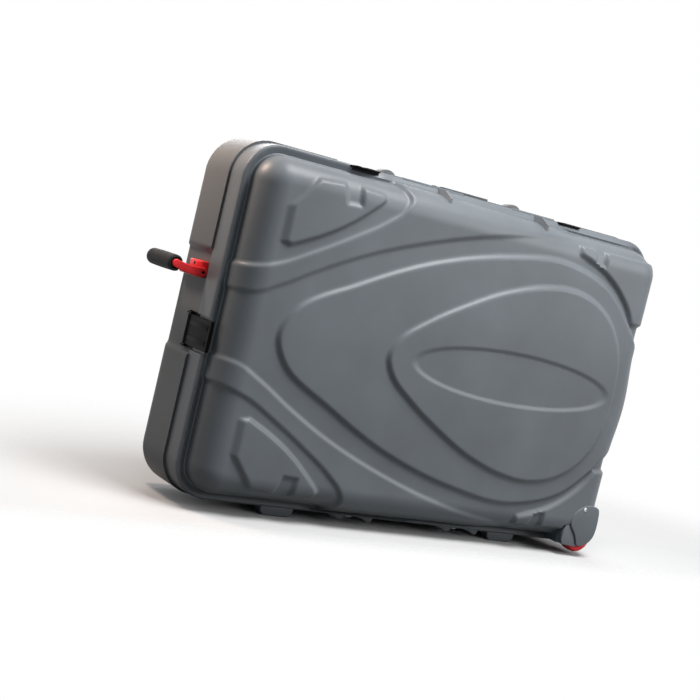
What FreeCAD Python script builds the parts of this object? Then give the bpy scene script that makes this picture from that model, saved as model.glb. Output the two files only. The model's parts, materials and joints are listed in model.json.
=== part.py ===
import FreeCAD, Part
import os
import re

import Sketcher
from FreeCAD import Placement, Rotation, Vector

# Hard clamshell travel case for one bicycle, standing upright on its feet.
# X runs along the case with the wheels at +X and the tow handle at -X, Z is up,
# and the halves meet at Y = 0: the lid is on the -Y side and the base on the +Y side.

SIZES = {
    # whole case
    "rim_length": 1100,
    "rim_height": 732,
    "rim_corner": 78,
    "foot_drop": 19,
    "base_overhang": 5,
    "wall": 3.5,
    "fit_gap": 0.3,
    "running_gap": 0.05,
    "overrun": 40,
    # lid half: rim band, then a bulge whose relief stands in two rises above the valley
    "lid_depth": 138,
    "rim_depth": 57,
    "valley_step": 20,
    "relief_rise": 7.5,
    "valley_edge": 53,
    "badge_depth": 3,
    # base half
    "base_depth": 138,
    "base_relief": 5,
    "base_relief_margin": 45,
    "base_edge": 24,
    "base_flange": 20,
    # recess across the tow handle's end of the base
    "recess_depth": 11,
    "recess_bottom": 308,
    "recess_height": 200,
    "recess_slope": 12,
    # rim seal
    "seal_width": 4,
    "seal_below": 15,
    "seal_above": 5,
    # feet and fins under the rim, fins on top of the base
    "foot_width": 80,
    "foot_thick": 30,
    "foot_setback": 25,
    "foot_left_at": -297,
    "foot_right_at": 309,
    "foot_chamfer": 9,
    "fin_run": 36,
    "fin_back": 9,
    "fin_flat": 7,
    "fin_drop": 10,
    "fin_thick": 15,
    "fin_reach": 34,
    "top_fin_left_at": -180,
    "top_fin_right_at": 171,
    "top_fin_width": 42,
    "top_fin_thick": 26,
    "top_fin_setback": 14,
    # hinges on the bottom edge
    "hinge_left_at": -101,
    "hinge_right_at": 191,
    "hinge_drop": 12,
    "leaf_half": 24,
    "leaf_reach": 36,
    "leaf_thick": 3,
    "knuckle_radius": 6,
    "knuckle_half": 9,
    "web_reach": 8,
    "hinge_pin_radius": 3,
    "screw_radius": 2,
    "screw_head_radius": 4,
    "screw_head": 2,
    "leaf_screw_at": 15,
    "leaf_screw_out": 24,
    # latches: places along the edges, then the mechanism
    "latch_top_left_at": -280,
    "latch_top_right_at": 278,
    "latch_end_height": 347,
    "latch_half": 36,
    "pocket_gap": 2,
    "lid_pocket": 6,
    "base_pocket": 10,
    "latch_plate_thick": 3,
    "latch_plate_start": 2,
    "latch_plate_reach": 50,
    "latch_pivot_out": 38,
    "latch_pivot_sink": 2,
    "latch_pin_radius": 2.5,
    "ear_thick": 4,
    "ear_half": 7,
    "ear_top": 3,
    "lever_thick": 5,
    "lever_boss": 4.6,
    "lever_gap": 0.6,
    "hook_thick": 4,
    "hook_drop": 10.5,
    "lever_rib": 1.2,
    "lever_rib_width": 5,
    "lever_lip": 5,
    "rivet_radius": 2,
    "rivet_head_radius": 4,
    "rivet_head": 1,
    "rivet_at": 20,
    "rivet_out": 16,
    # carry handle on the top edge of the base
    "carry_at": 30,
    "carry_half": 80,
    "carry_start": 7,
    "carry_width": 48,
    "carry_sink": 10,
    "carry_plate_thick": 3,
    "carry_bar_half": 62,
    "carry_bar_width": 18,
    "carry_bar_top": 5,
    "carry_arm": 12,
    "carry_pivot_out": 46,
    "carry_boss": 6,
    "carry_pin_radius": 3,
    "carry_ear": 6,
    # tow handle
    "tow_centre": 66,
    "tow_height": 467,
    "tow_stand": 13,
    "tow_reach": 62,
    "tow_tilt": 6.5,
    "tow_arm_half": 9,
    "tow_arm_thick": 8,
    "tow_pin_radius": 4,
    "tow_tube_radius": 6,
    "tow_grip_radius": 16.5,
    "tow_grip_length": 106,
    "tow_grip_mouth_radius": 12.5,
    "tow_grip_mouth": 9,
    "tow_bracket_half": 40,
    "tow_bracket_out": 21,
    "tow_bracket_below": 12,
    "tow_bracket_above": 22,
    "tow_screw_at": 16,
    "tow_screw_rise": 14,
    # wheels
    "wheel_radius": 40,
    "wheel_width": 28,
    "wheel_setback": 55,
    "wheel_height": 48,
    "wheel_round": 7,
    "hub_radius": 25,
    "hub_boss_radius": 13,
    "bush_radius": 8,
    "axle_radius": 5,
    "slot_clear": 4,
    "slot_gap": 2,
    "fork_start": 70,
    "fork_cheek": 12,
    "cover_thick": 7,
    # inside
    "foam_thick": 15,
    "foam_half_length": 405,
    "foam_half_height": 258,
    "foam_corner": 50,
    "foam_crown": 4,
    "strap_at": 180,
    "strap_width": 25,
    "strap_thick": 2,
    "strap_over": 12,
    "strap_tab": 18,
    "anchor_thick": 3,
    "anchor_half": 17,
    "buckle_half": 20,
    "buckle_thick": 5,
    "buckle_bar": 6,
}

# Outlines of the relief, as shares of half the rim's length and half its height about its middle.
OUTER_DROP_SHARES = [
    (1.09, 0.33), (0.945, 0.39), (0.836, 0.5), (0.693, 0.669), (0.436, 0.762), (0.145, 0.71),
    (-0.19, 0.571), (-0.495, 0.36), (-0.735, 0.145), (-0.778, 0),
]
INNER_DROP_SHARES = [
    (0.855, 0), (0.844, 0.191), (0.8, 0.363), (0.718, 0.497), (0.609, 0.579), (0.487, 0.607),
    (0.364, 0.587), (0.182, 0.508), (0, 0.377), (-0.155, 0.24), (-0.269, 0.104), (-0.3, 0),
]
STRAP_INNER_SHARES = [
    (-1.09, 0.19), (-0.907, 0.197), (-0.815, 0.262), (-0.655, 0.399), (-0.464, 0.541),
    (-0.191, 0.694), (0, 0.779), (0.218, 0.852), (0.436, 0.899), (0.6, 0.934),
]
STRAP_OUTER_SHARES = [
    (-0.436, 1.03), (-0.373, 0.934), (-0.345, 0.885), (-0.36, 0.836), (-0.436, 0.732),
    (-0.564, 0.607), (-0.718, 0.473), (-0.849, 0.374), (-0.945, 0.333), (-1.09, 0.32),
]
STRAP_TOP_SHARES = [(0.62, 1.1), (-0.45, 1.1)]
LEFT_PAD_SHARES = [
    (-0.855, 0.505), (-0.853, 0.689), (-0.755, 0.863), (-0.647, 0.874), (-0.636, 0.781),
    (-0.578, 0.781), (-0.567, 0.877), (-0.478, 0.869), (-0.469, 0.828), (-0.636, 0.623), (-0.822, 0.489),
]
RIGHT_PAD_SHARES = [
    (0.513, 0.88), (0.591, 0.88), (0.6, 0.82), (0.628, 0.82), (0.636, 0.88), (1.09, 0.88), (1.09, 0.47),
    (0.869, 0.459), (0.8, 0.587), (0.736, 0.699), (0.664, 0.77), (0.582, 0.803), (0.513, 0.836),
]
BADGE_CENTRE_SHARE = 0.315
BADGE_LONG_SHARE = 0.495
BADGE_HIGH_SHARE = 0.156

# Fork block and its cover, about the axle, as shares of the wheel's radius.
FORK_SHARES = [
    (-1.68, -0.52), (-1.68, 0.6), (-1.08, 0.8), (-0.65, 1.42), (-0.2, 1.75), (0.82, 1.75),
    (0.95, 1.55), (0.9, 0.2), (0.5, -0.36), (-0.2, -0.55),
]
COVER_SHARES = [
    (-0.62, 1.4), (-0.2, 1.74), (0.85, 1.74), (1.0, 1.6), (0.93, 0.22), (0.55, -0.36), (-0.22, -0.55),
    (-0.33, -0.44), (-0.33, -0.05), (-0.62, 0.6), (-0.75, 1.1),
]
COVER_SCREW_SHARES = (-0.15, 1.55)

# Fins under the lid's rim, as shares of half the rim's length.
FIN_SHARES = [-0.253, -0.116, 0.275, 0.42]

HALF = "(rim_length / 2)"
LID_LOW = "foot_drop"
LID_HIGH = "(foot_drop + rim_height)"
MIDDLE = "(foot_drop + rim_height / 2)"
BASE_END = "(rim_length / 2 + base_overhang)"
BASE_LOW = "(foot_drop - base_overhang)"
BASE_HIGH = "(foot_drop + rim_height + base_overhang)"
BASE_BACK = "(base_depth - 2 * base_relief)"
VALLEY_DEPTH = "(lid_depth - 2 * relief_rise)"
HINGE_Z = "(foot_drop - hinge_drop)"
RECESS_X = "(recess_depth - rim_length / 2 - base_overhang)"
TOW_X = f"({RECESS_X} - tow_stand)"
GRIP_X = f"({TOW_X} - tow_reach * cos(tow_tilt * 1 deg))"
WHEEL_X = "(rim_length / 2 - wheel_setback)"
SLOT_WIDTH = "(wheel_width + 2 * slot_gap)"
FORK_END = f"(fork_start + fork_cheek + {SLOT_WIDTH})"
CARRY_FLOOR = f"({BASE_HIGH} - carry_sink)"
CARRY_Z = f"({CARRY_FLOOR} + carry_plate_thick + carry_boss + fit_gap)"
LEVER_HALF = "(latch_half - ear_thick - lever_gap)"
LEVER_LOW = "(fit_gap - lid_pocket)"
# The part's box reaches from the grip at -X to the end of the base at +X; its middle is the origin.
ORIGIN_X = f"(-({BASE_END} + {GRIP_X} - tow_grip_radius) / 2)"

SIDES = {"lid": -1, "base": 1}
LATCHES = {
    "top_left": ("latch_top_left_at", LID_HIGH, 0),
    "top_right": ("latch_top_right_at", LID_HIGH, 0),
    "end_left": (f"-{HALF}", "latch_end_height", -90),
    "end_right": (HALF, "latch_end_height", 90),
}
HINGES = {"left": "hinge_left_at", "right": "hinge_right_at"}

doc = FreeCAD.newDocument("bike_travel_case")
sheet = doc.addObject("Spreadsheet::Sheet", "Sizes")
for row, (alias, size) in enumerate(SIZES.items(), start=1):
    sheet.set(f"A{row}", alias)
    sheet.set(f"B{row}", str(size))
    sheet.setAlias(f"B{row}", alias)
doc.recompute()
nodes = {}


def linked(formula):
    """The formula with each size's alias pointing at its cell in the sheet."""
    return re.sub(r"[a-z][a-z_]+", lambda word: "Sizes." + word[0] if word[0] in SIZES else word[0], formula)


def bind(item, prop, formula):
    item.setExpression(prop, linked(formula))


def number(formula):
    """A formula's value, for outlines that code draws."""
    return float(sheet.evalExpression(formula))


def keep(label, item):
    """Registers an object as a node of the part."""
    item.Label = label
    nodes[label] = item
    return item


def place(item, x="0", y="0", z="0", turn=0, axis=Vector(0, 1, 0)):
    item.Placement = Placement(Vector(), Rotation(axis, turn))
    bind(item, "Placement.Base.x", x)
    bind(item, "Placement.Base.y", y)
    bind(item, "Placement.Base.z", z)
    return item


def box(name, x, y, z):
    """A block between the low and high formulas given for each axis."""
    item = doc.addObject("Part::Box", name)
    for prop, (low, high) in zip(("Length", "Width", "Height"), (x, y, z)):
        bind(item, prop, f"({high}) - ({low})")
    return place(item, x[0], y[0], z[0])


def rod(name, axis, start, radius, length):
    """A cylinder from its start point along X, Y or Z."""
    item = doc.addObject("Part::Cylinder", name)
    bind(item, "Radius", radius)
    bind(item, "Height", length)
    turns = {"x": (90, Vector(0, 1, 0)), "y": (-90, Vector(1, 0, 0)), "z": (0, Vector(0, 0, 1))}
    return place(item, *start, *turns[axis])


def fuse(name, items):
    item = doc.addObject("Part::MultiFuse", name)
    item.Shapes = items
    return item


def cut(name, solid, tools):
    item = doc.addObject("Part::Cut", name)
    item.Base = solid
    item.Tool = tools[0] if len(tools) == 1 else fuse(name + "_tools", tools)
    return item


def group(name, items):
    """Identical small pieces kept as separate solids of one node."""
    item = doc.addObject("Part::Compound", name)
    item.Links = items
    return item


def outline_sketch(body, name, role, points):
    """A closed outline of straight runs whose corners are bound to the sheet."""
    sketch = body.newObject("Sketcher::SketchObject", name)
    sketch.AttachmentSupport = [(next(f for f in body.Origin.OriginFeatures if f.Role == role), "")]
    sketch.MapMode = "FlatFace"
    corners = [Vector(number(a), number(b), 0) for a, b in points]
    for start, end in zip(corners, corners[1:] + corners[:1]):
        sketch.addGeometry(Part.LineSegment(start, end))
    count = len(corners)
    for i in range(count):
        sketch.addConstraint(Sketcher.Constraint("Coincident", i, 2, (i + 1) % count, 1))
    for i, (point, corner) in enumerate(zip(points, corners)):
        for kind, formula, value in zip(("DistanceX", "DistanceY"), point, corner):
            index = sketch.addConstraint(Sketcher.Constraint(kind, -1, 1, i, 1, value))
            bind(sketch, f"Constraints[{index}]", formula)
    return sketch


def plate(name, points, low, high):
    """An outline in X and Z, padded along Y between two formulas."""
    body = doc.addObject("PartDesign::Body", name)
    pad = body.newObject("PartDesign::Pad", name + "_pad")
    pad.Profile = outline_sketch(body, name + "_sketch", "XZ_Plane", points)
    pad.SideType = "Symmetric"
    bind(pad, "Length", f"({high}) - ({low})")
    body.Tip = pad
    return place(body, y=f"(({high}) + ({low})) / 2")


def turned(name, points):
    """A profile of distance along the axis and radius, turned about X and then laid along Y."""
    body = doc.addObject("PartDesign::Body", name)
    spin = body.newObject("PartDesign::Revolution", name + "_spin")
    sketch = outline_sketch(body, name + "_sketch", "XY_Plane", points)
    spin.Profile = sketch
    spin.ReferenceAxis = (sketch, ["H_Axis"])
    spin.Angle = 360
    body.Tip = spin
    return body


def lay(body, x, y, z):
    """Places a turned body with its axis along Y."""
    return place(body, x, y, z, 90, Vector(0, 0, 1))


def side_span(side, near, far):
    """Low and high formulas of a span between two distances from the seam, on one side of it."""
    return (near, far) if side > 0 else (f"-({far})", f"-({near})")


def coded(label, shape):
    """A node whose shape is drawn by code from the sheet's sizes."""
    item = doc.addObject("Part::Feature", label)
    item.Shape = shape
    place(item, ORIGIN_X)
    return keep(label, item)


def wire_of(runs, y=0):
    """A closed wire through runs of points: a smooth curve through a run, straight lines between runs."""
    edges = []
    last = None
    for points in runs:
        spots = [Vector(x, y, z) for x, z in points]
        if last:
            edges.append(Part.makeLine(last, spots[0]))
        if len(spots) > 2:
            curve = Part.BSplineCurve()
            curve.interpolate(spots)
            edges.append(curve.toShape())
        else:
            edges += [Part.makeLine(a, b) for a, b in zip(spots, spots[1:])]
        last = spots[-1]
    start = Vector(runs[0][0][0], y, runs[0][0][1])
    if start.distanceToPoint(last) > number("fit_gap"):
        edges.append(Part.makeLine(last, start))
    return Part.Wire(edges)


def inset(runs, amount):
    """The same runs with every point moved towards the inside of the outline by the amount."""
    flat = [point for run in runs for point in run]
    area = sum(a[0] * b[1] - b[0] * a[1] for a, b in zip(flat, flat[1:] + flat[:1]))
    moved = []
    for i, point in enumerate(flat):
        before = flat[i - 1]
        after = flat[(i + 1) % len(flat)]
        along = Vector(after[0] - before[0], after[1] - before[1], 0).normalize()
        way = amount if area > 0 else -amount
        moved.append((point[0] - along.y * way, point[1] + along.x * way))
    result = []
    for run in runs:
        result.append(moved[:len(run)])
        moved = moved[len(run):]
    return result


def loop_of(points):
    """A closed wire of one smooth curve through all the points."""
    curve = Part.BSplineCurve()
    curve.interpolate(Points=[Vector(x, 0, z) for x, z in points], PeriodicFlag=True)
    return Part.Wire([curve.toShape()])


def prism(wire, depth):
    return Part.Face(wire).extrude(Vector(0, depth, 0))


def spot(share):
    """A pair of shares as a point of the lid's front, about the middle of its height."""
    return share[0] * number(HALF), share[1] * number("rim_height / 2")


def mirrored(runs):
    return [[(x, -z) for x, z in run] for run in runs]


def lifted(shape):
    """Moves a shape drawn about the middle height to its place."""
    return shape.translated(Vector(0, 0, number(MIDDLE)))


def rounded_box(half, high, depth, corner, edge):
    """A block from the seam to a depth, centred on X and Z, with round corners and a round far edge."""
    low = Vector(-half, min(depth, 0), -high)
    block = Part.makeBox(2 * half, abs(depth), 2 * high, low)
    along = [e for e in block.Edges if abs(e.tangentAt(e.FirstParameter).y) > number("0.5")]
    block = block.makeFillet(corner, along)
    if edge > 0:
        far = [e for e in block.Edges if all(abs(v.Y - depth) < number("running_gap") for v in e.Vertexes)]
        block = block.makeFillet(edge, far)
    return block


def relief_outlines():
    """Outlines of the lid's raised areas (outer drop, straps and corner pads), and of the inner drop."""
    half_outer = [spot(s) for s in OUTER_DROP_SHARES]
    outer = [half_outer + [(x, -z) for x, z in reversed(half_outer[:-1])]]
    half_inner = [spot(s) for s in INNER_DROP_SHARES]
    inner = half_inner + [(x, -z) for x, z in reversed(half_inner[1:-1])]
    strap = [[spot(s) for s in part] for part in (STRAP_INNER_SHARES, STRAP_TOP_SHARES, STRAP_OUTER_SHARES)]
    pads = []
    for shares in (LEFT_PAD_SHARES, RIGHT_PAD_SHARES):
        points = [spot(s) for s in shares]
        pads.append([[a, b] for a, b in zip(points[::2], points[1::2])] + [points[-1:]] * (len(points) % 2))
    upper = [strap] + pads
    return [outer] + upper + [mirrored(runs) for runs in upper], inner


def lid_body(shrink):
    """The lid's filled form about the middle height, every face moved inwards by shrink."""
    rim = rounded_box(number(HALF) - shrink, number("rim_height / 2") - shrink,
                      -number("rim_depth") + shrink, number("rim_corner") - shrink, 0)
    bodies = []
    for rises in range(3):
        step = number("valley_step") - rises * number("relief_rise") + shrink
        depth = number(VALLEY_DEPTH) + rises * number("relief_rise") - shrink
        bodies.append(rounded_box(number(HALF) - step, number("rim_height / 2") - step, -depth,
                                  number("rim_corner") - step,
                                  number("valley_edge") + rises * number("relief_rise") - shrink))
    valley, raised, top = bodies
    reach = -number("lid_depth + overrun")
    outlines, inner = relief_outlines()
    parts = [raised.common(prism(wire_of(inset(runs, shrink)), reach)) for runs in outlines]
    parts.append(top.common(prism(loop_of(inset([inner], shrink)[0]), reach)))
    return rim.multiFuse([valley] + parts)


def base_body(shrink):
    """The base's filled form about the middle height, with two low drops on its back."""
    grow = number("base_overhang") - shrink
    block = rounded_box(number(HALF) + grow, number("rim_height / 2") + grow, number(BASE_BACK) - shrink,
                        number("rim_corner") + grow, number("base_edge") - shrink)
    inner = relief_outlines()[1]
    drops = []
    for rises, margin in ((1, number("base_relief_margin")), (2, 0)):
        outline = inset([inner], shrink - margin)[0]
        drops.append(prism(loop_of(outline), number(BASE_BACK) + rises * number("base_relief") - shrink))
    return block.multiFuse(drops)


def latch_place(name):
    """Where a latch sits: its own X runs along the edge and its own Z points out of the case."""
    x, z, turn = LATCHES[name]
    return Placement(Vector(number(x), 0, number(z)), Rotation(Vector(0, 1, 0), turn))


def latch_pocket(name, side, grow):
    """The pocket that one latch takes out of a half, or with grow the same pocket and its wall."""
    half = number("latch_half + pocket_gap") + grow
    floor = -number("lid_pocket" if side < 0 else "base_pocket") - grow
    reach = number("rim_depth" if side < 0 else "latch_plate_reach + pocket_gap") + grow
    low = Vector(-half, -reach if side < 0 else 0, floor)
    block = Part.makeBox(2 * half, reach, number("overrun") - floor, low)
    return block.transformGeometry(latch_place(name).toMatrix())


def wheel_pocket(side, grow):
    """The corner that the wheel's fork takes out of a half, or with grow the corner and its wall."""
    unit = number("wheel_radius")
    gap = number("fit_gap") + grow
    rim = [(a * unit, b * unit) for a, b in FORK_SHARES[:5]]
    far = number("wheel_setback + overrun")
    points = [(rim[0][0], -number("wheel_height + overrun"))] + rim + [(far, rim[-1][1])]
    points.append((far, points[0][1]))
    runs = inset([[p] for p in points], -gap)
    block = Part.Face(wire_of(runs)).extrude(Vector(0, side * number("lid_depth + overrun"), 0))
    start = side * (number("fork_start") - gap)
    return block.translated(Vector(number(WHEEL_X), start, number("wheel_height")))


def end_recess(grow):
    """The shallow band across the tow handle's end of the base."""
    out = number(f"-{BASE_END} - overrun")
    floor = number(RECESS_X) + grow
    edge = number(f"-{BASE_END}")
    low = number("recess_bottom") - grow
    high = low + number("recess_height") + 2 * grow
    slope = number("recess_slope")
    points = [(out, low - slope), (edge + grow, low - slope), (floor, low), (floor, high),
              (edge + grow, high + slope), (out, high + slope)]
    return Part.Face(wire_of([[p] for p in points])).extrude(Vector(0, number("base_depth + overrun"), 0))


def carry_pocket(grow):
    half = number("carry_half") + grow
    low = Vector(number("carry_at") - half, number("carry_start") - grow, number(CARRY_FLOOR) - grow)
    return Part.makeBox(2 * half, number("carry_width") + 2 * grow, number("overrun"), low)


def carry_seat(grow):
    """The notch in the base's top edge that takes the carry handle's tub, open at the seam."""
    half = number("carry_half") + grow
    low = Vector(number("carry_at") - half, 0, number(CARRY_FLOOR) - grow)
    return Part.makeBox(2 * half, number("carry_start + carry_width") + grow, number("overrun"), low)


def foot(at, side, top):
    """A moulded foot under the rim with chamfered lower corners."""
    half = number("foot_width / 2")
    trim = number("foot_chamfer")
    points = [(at - half, top), (at - half, trim), (at - half + trim, 0), (at + half - trim, 0),
              (at + half, trim), (at + half, top)]
    block = Part.Face(wire_of([[p] for p in points])).extrude(Vector(0, number("foot_thick"), 0))
    setback = number("foot_setback")
    return block.translated(Vector(0, setback if side > 0 else -setback - number("foot_thick"), 0))


def fin(at):
    """A skid fin under the front edge of the lid's rim: a long slope, a blunt tip and a short back."""
    top = number("foot_drop")
    tip = top - number("fin_drop")
    points = [(at - number("fin_run"), top), (at - number("fin_flat / 2"), tip),
              (at + number("fin_flat / 2"), tip), (at + number("fin_back"), top)]
    block = Part.Face(wire_of([[p] for p in points])).extrude(Vector(0, number("fin_thick"), 0))
    return block.translated(Vector(0, -number("rim_depth"), 0))


def top_fin(at):
    """A rounded bump on top of the base beside a latch."""
    half = number("top_fin_width / 2")
    top = number(BASE_HIGH)
    rise = number("fin_drop")
    arc = Part.Arc(Vector(at - half, 0, top), Vector(at + number("fin_flat"), 0, top + rise),
                   Vector(at + half, 0, top)).toShape()
    block = Part.Face(Part.Wire([arc, Part.makeLine(arc.Vertexes[-1].Point, arc.Vertexes[0].Point)]))
    block = block.extrude(Vector(0, number("top_fin_thick"), 0))
    return block.translated(Vector(0, number("top_fin_setback"), 0))


def leaf_holes(side):
    """Holes for the hinge leaves' screws through the bottom wall of a half."""
    holes = []
    radius = number("screw_radius + running_gap")
    for at in HINGES.values():
        for way in (-1, 1):
            spot_x = number(at) + way * number("leaf_screw_at")
            start = Vector(spot_x, side * number("leaf_screw_out"), 0)
            holes.append(Part.makeCylinder(radius, number("foot_drop + overrun"), start))
    return holes


def rivet_holes():
    holes = []
    for name in LATCHES:
        for way in (-1, 1):
            start = Vector(way * number("rivet_at"), number("rivet_out"), -number("overrun"))
            hole = Part.makeCylinder(number("rivet_radius + running_gap"), number("overrun"), start)
            holes.append(hole.transformGeometry(latch_place(name).toMatrix()))
    return holes


def tow_holes():
    """Holes for the tow bracket's screws through the base's end wall."""
    holes = []
    for way in (-1, 1):
        start = Vector(number(f"{RECESS_X} - overrun"), number("tow_centre") + way * number("tow_screw_at"),
                       number("tow_height + tow_screw_rise"))
        holes.append(Part.makeCylinder(number("screw_radius + running_gap"), number("2 * overrun"),
                                       start, Vector(1, 0, 0)))
    return holes


def badge_recess(grow):
    """The bare oval sunk into the inner drop, or with grow the same oval and its wall."""
    centre = Vector(BADGE_CENTRE_SHARE * number(HALF), -number("lid_depth + overrun"), 0)
    long = Vector(BADGE_LONG_SHARE * number(HALF) + grow, 0, 0)
    high = Vector(0, 0, BADGE_HIGH_SHARE * number("rim_height / 2") + grow)
    oval = Part.Ellipse(centre + long, centre + high, centre)
    return prism(Part.Wire([oval.toShape()]), number("overrun + badge_depth") + grow)


def make_lid_shell():
    pockets = [latch_pocket(name, -1, 0) for name in LATCHES] + [wheel_pocket(-1, number("wall"))]
    walls = [latch_pocket(name, -1, number("wall")) for name in LATCHES]
    outside = lifted(lid_body(0).cut(badge_recess(0)))
    foot_top = number(f"{LID_LOW} + wall / 2")
    feet = [foot(number(f"foot_{end}_at"), -1, foot_top) for end in ("left", "right")]
    fins = [fin(share * number(HALF)) for share in FIN_SHARES]
    outside = outside.multiFuse(feet + fins).cut(pockets)
    inside = lifted(lid_body(number("wall")).cut(badge_recess(number("wall")))).cut(walls)
    return outside.cut([inside] + leaf_holes(-1))


def make_base_shell():
    wall = number("wall")
    pockets = [latch_pocket(name, 1, 0) for name in LATCHES]
    pockets += [wheel_pocket(1, wall), end_recess(0), carry_seat(wall)]
    walls = [latch_pocket(name, 1, wall) for name in LATCHES] + [end_recess(wall)]
    outside = lifted(base_body(0))
    feet = [foot(number(f"foot_{end}_at"), 1, number(BASE_LOW) + wall / 2) for end in ("left", "right")]
    bumps = [top_fin(number(f"top_fin_{end}_at")) for end in ("left", "right")]
    outside = outside.multiFuse(feet + bumps).cut(pockets)
    flange = number("base_flange")
    cavity = base_body(wall)
    front = Part.makeBox(number("2 * rim_length"), flange, number("2 * rim_length"),
                         Vector(-number("rim_length"), 0, -number("rim_length")))
    deep = cavity.cut(front)
    mouth = rounded_box(number(HALF) - wall, number("rim_height / 2") - wall, flange,
                        number("rim_corner") - wall, 0)
    inside = lifted(deep.fuse(mouth)).cut(walls)
    return outside.cut([inside] + leaf_holes(1) + rivet_holes() + tow_holes())


def make_rim_seal():
    """A strip inside the seam that stands in both halves, broken where the latches' pockets cross it."""
    rings = []
    for width in (0, number("seal_width")):
        step = number("wall + fit_gap") + width
        ring = rounded_box(number(HALF) - step, number("rim_height / 2") - step,
                           number("seal_above + seal_below"), number("rim_corner") - step, 0)
        rings.append(lifted(ring).translated(Vector(0, -number("seal_above"), 0)))
    grow = number("wall + fit_gap")
    breaks = [latch_pocket(name, side, grow) for name in LATCHES for side in SIDES.values()]
    breaks += [end_recess(grow), carry_seat(grow)]
    return rings[0].cut([rings[1]] + breaks)


def make_wheel_housing(side):
    """The wall that closes the cut corner of a half behind its wheel, flush with the shell's outside."""
    body = lifted(lid_body(0) if side < 0 else base_body(0))
    return body.common(wheel_pocket(side, number("wall - running_gap"))).cut(wheel_pocket(side, 0))


def make_carry_tub():
    """The tub that closes the notch in the base's top edge under the carry handle."""
    return lifted(base_body(0)).common(carry_seat(number("wall - running_gap"))).cut(carry_pocket(0))


def build_shells():
    coded("lid_shell", make_lid_shell())
    coded("base_shell", make_base_shell())
    coded("carry_tub", make_carry_tub())
    for half, side in SIDES.items():
        coded(f"wheel_{half}_housing", make_wheel_housing(side))
    coded("rim_seal", make_rim_seal())


def build_hinge(name, at):
    """A butt hinge under the rim: two leaves whose knuckles share one pin below the seam."""
    outer = (f"{at} - leaf_half", f"{at} + leaf_half")
    inner = (f"{at} - knuckle_half", f"{at} + knuckle_half")
    gap = "fit_gap"
    spans = {
        "base": [(outer[0], f"{inner[0]} - {gap}"), (f"{inner[1]} + {gap}", outer[1])],
        "lid": [inner],
    }
    lows = {"base": BASE_LOW, "lid": LID_LOW}
    for half, side in SIDES.items():
        stem = f"hinge_{name}_{half}"
        low = lows[half]
        pieces = [box(stem + "_plate", outer, side_span(side, "knuckle_radius + fit_gap", "leaf_reach"),
                      (f"{low} - leaf_thick", low))]
        for i, (start, end) in enumerate(spans[half]):
            pieces.append(box(f"{stem}_web{i}", (start, end), side_span(side, "0", "web_reach"),
                              (HINGE_Z, low)))
            pieces.append(rod(f"{stem}_knuckle{i}", "x", (start, "0", HINGE_Z), "knuckle_radius",
                              f"({end}) - ({start})"))
        bores = [rod(stem + "_bore", "x", (f"{at} - leaf_half - overrun", "0", HINGE_Z),
                     "hinge_pin_radius + running_gap", "2 * (leaf_half + overrun)")]
        for i, way in enumerate("-+"):
            bores.append(rod(f"{stem}_hole{i}", "z", (f"{at} {way} leaf_screw_at", f"{side} * leaf_screw_out",
                                                      f"{low} - leaf_thick - overrun"),
                             "screw_radius + running_gap", "2 * overrun"))
        leaf = cut(stem + "_leaf", fuse(stem + "_body", pieces), bores)
        keep(f"hinge_{name}_{half}_leaf", place(leaf, ORIGIN_X))
    pin = rod(f"hinge_{name}_rod", "x", (f"{ORIGIN_X} + {at} - leaf_half", "0", HINGE_Z),
              "hinge_pin_radius", "2 * leaf_half")
    keep(f"hinge_{name}_pin", pin)


def build_hinge_screws(half, side):
    """Pan screws that hold the hinge leaves to one half."""
    low = {"base": BASE_LOW, "lid": LID_LOW}[half]
    screws = []
    for name, at in HINGES.items():
        for i, way in enumerate("-+"):
            stem = f"hinge_{half}_screw_{name}{i}"
            spot_xy = (f"{at} {way} leaf_screw_at", f"{side} * leaf_screw_out")
            head = rod(stem + "_head", "z", (*spot_xy, f"{low} - leaf_thick - screw_head"),
                       "screw_head_radius", "screw_head")
            shank = rod(stem + "_shank", "z", (*spot_xy, f"{low} - leaf_thick"), "screw_radius",
                        "leaf_thick + wall")
            screws.append(fuse(stem, [head, shank]))
    keep(f"hinge_{half}_screws", place(group(f"hinge_{half}_screw_group", screws), ORIGIN_X))


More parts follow.
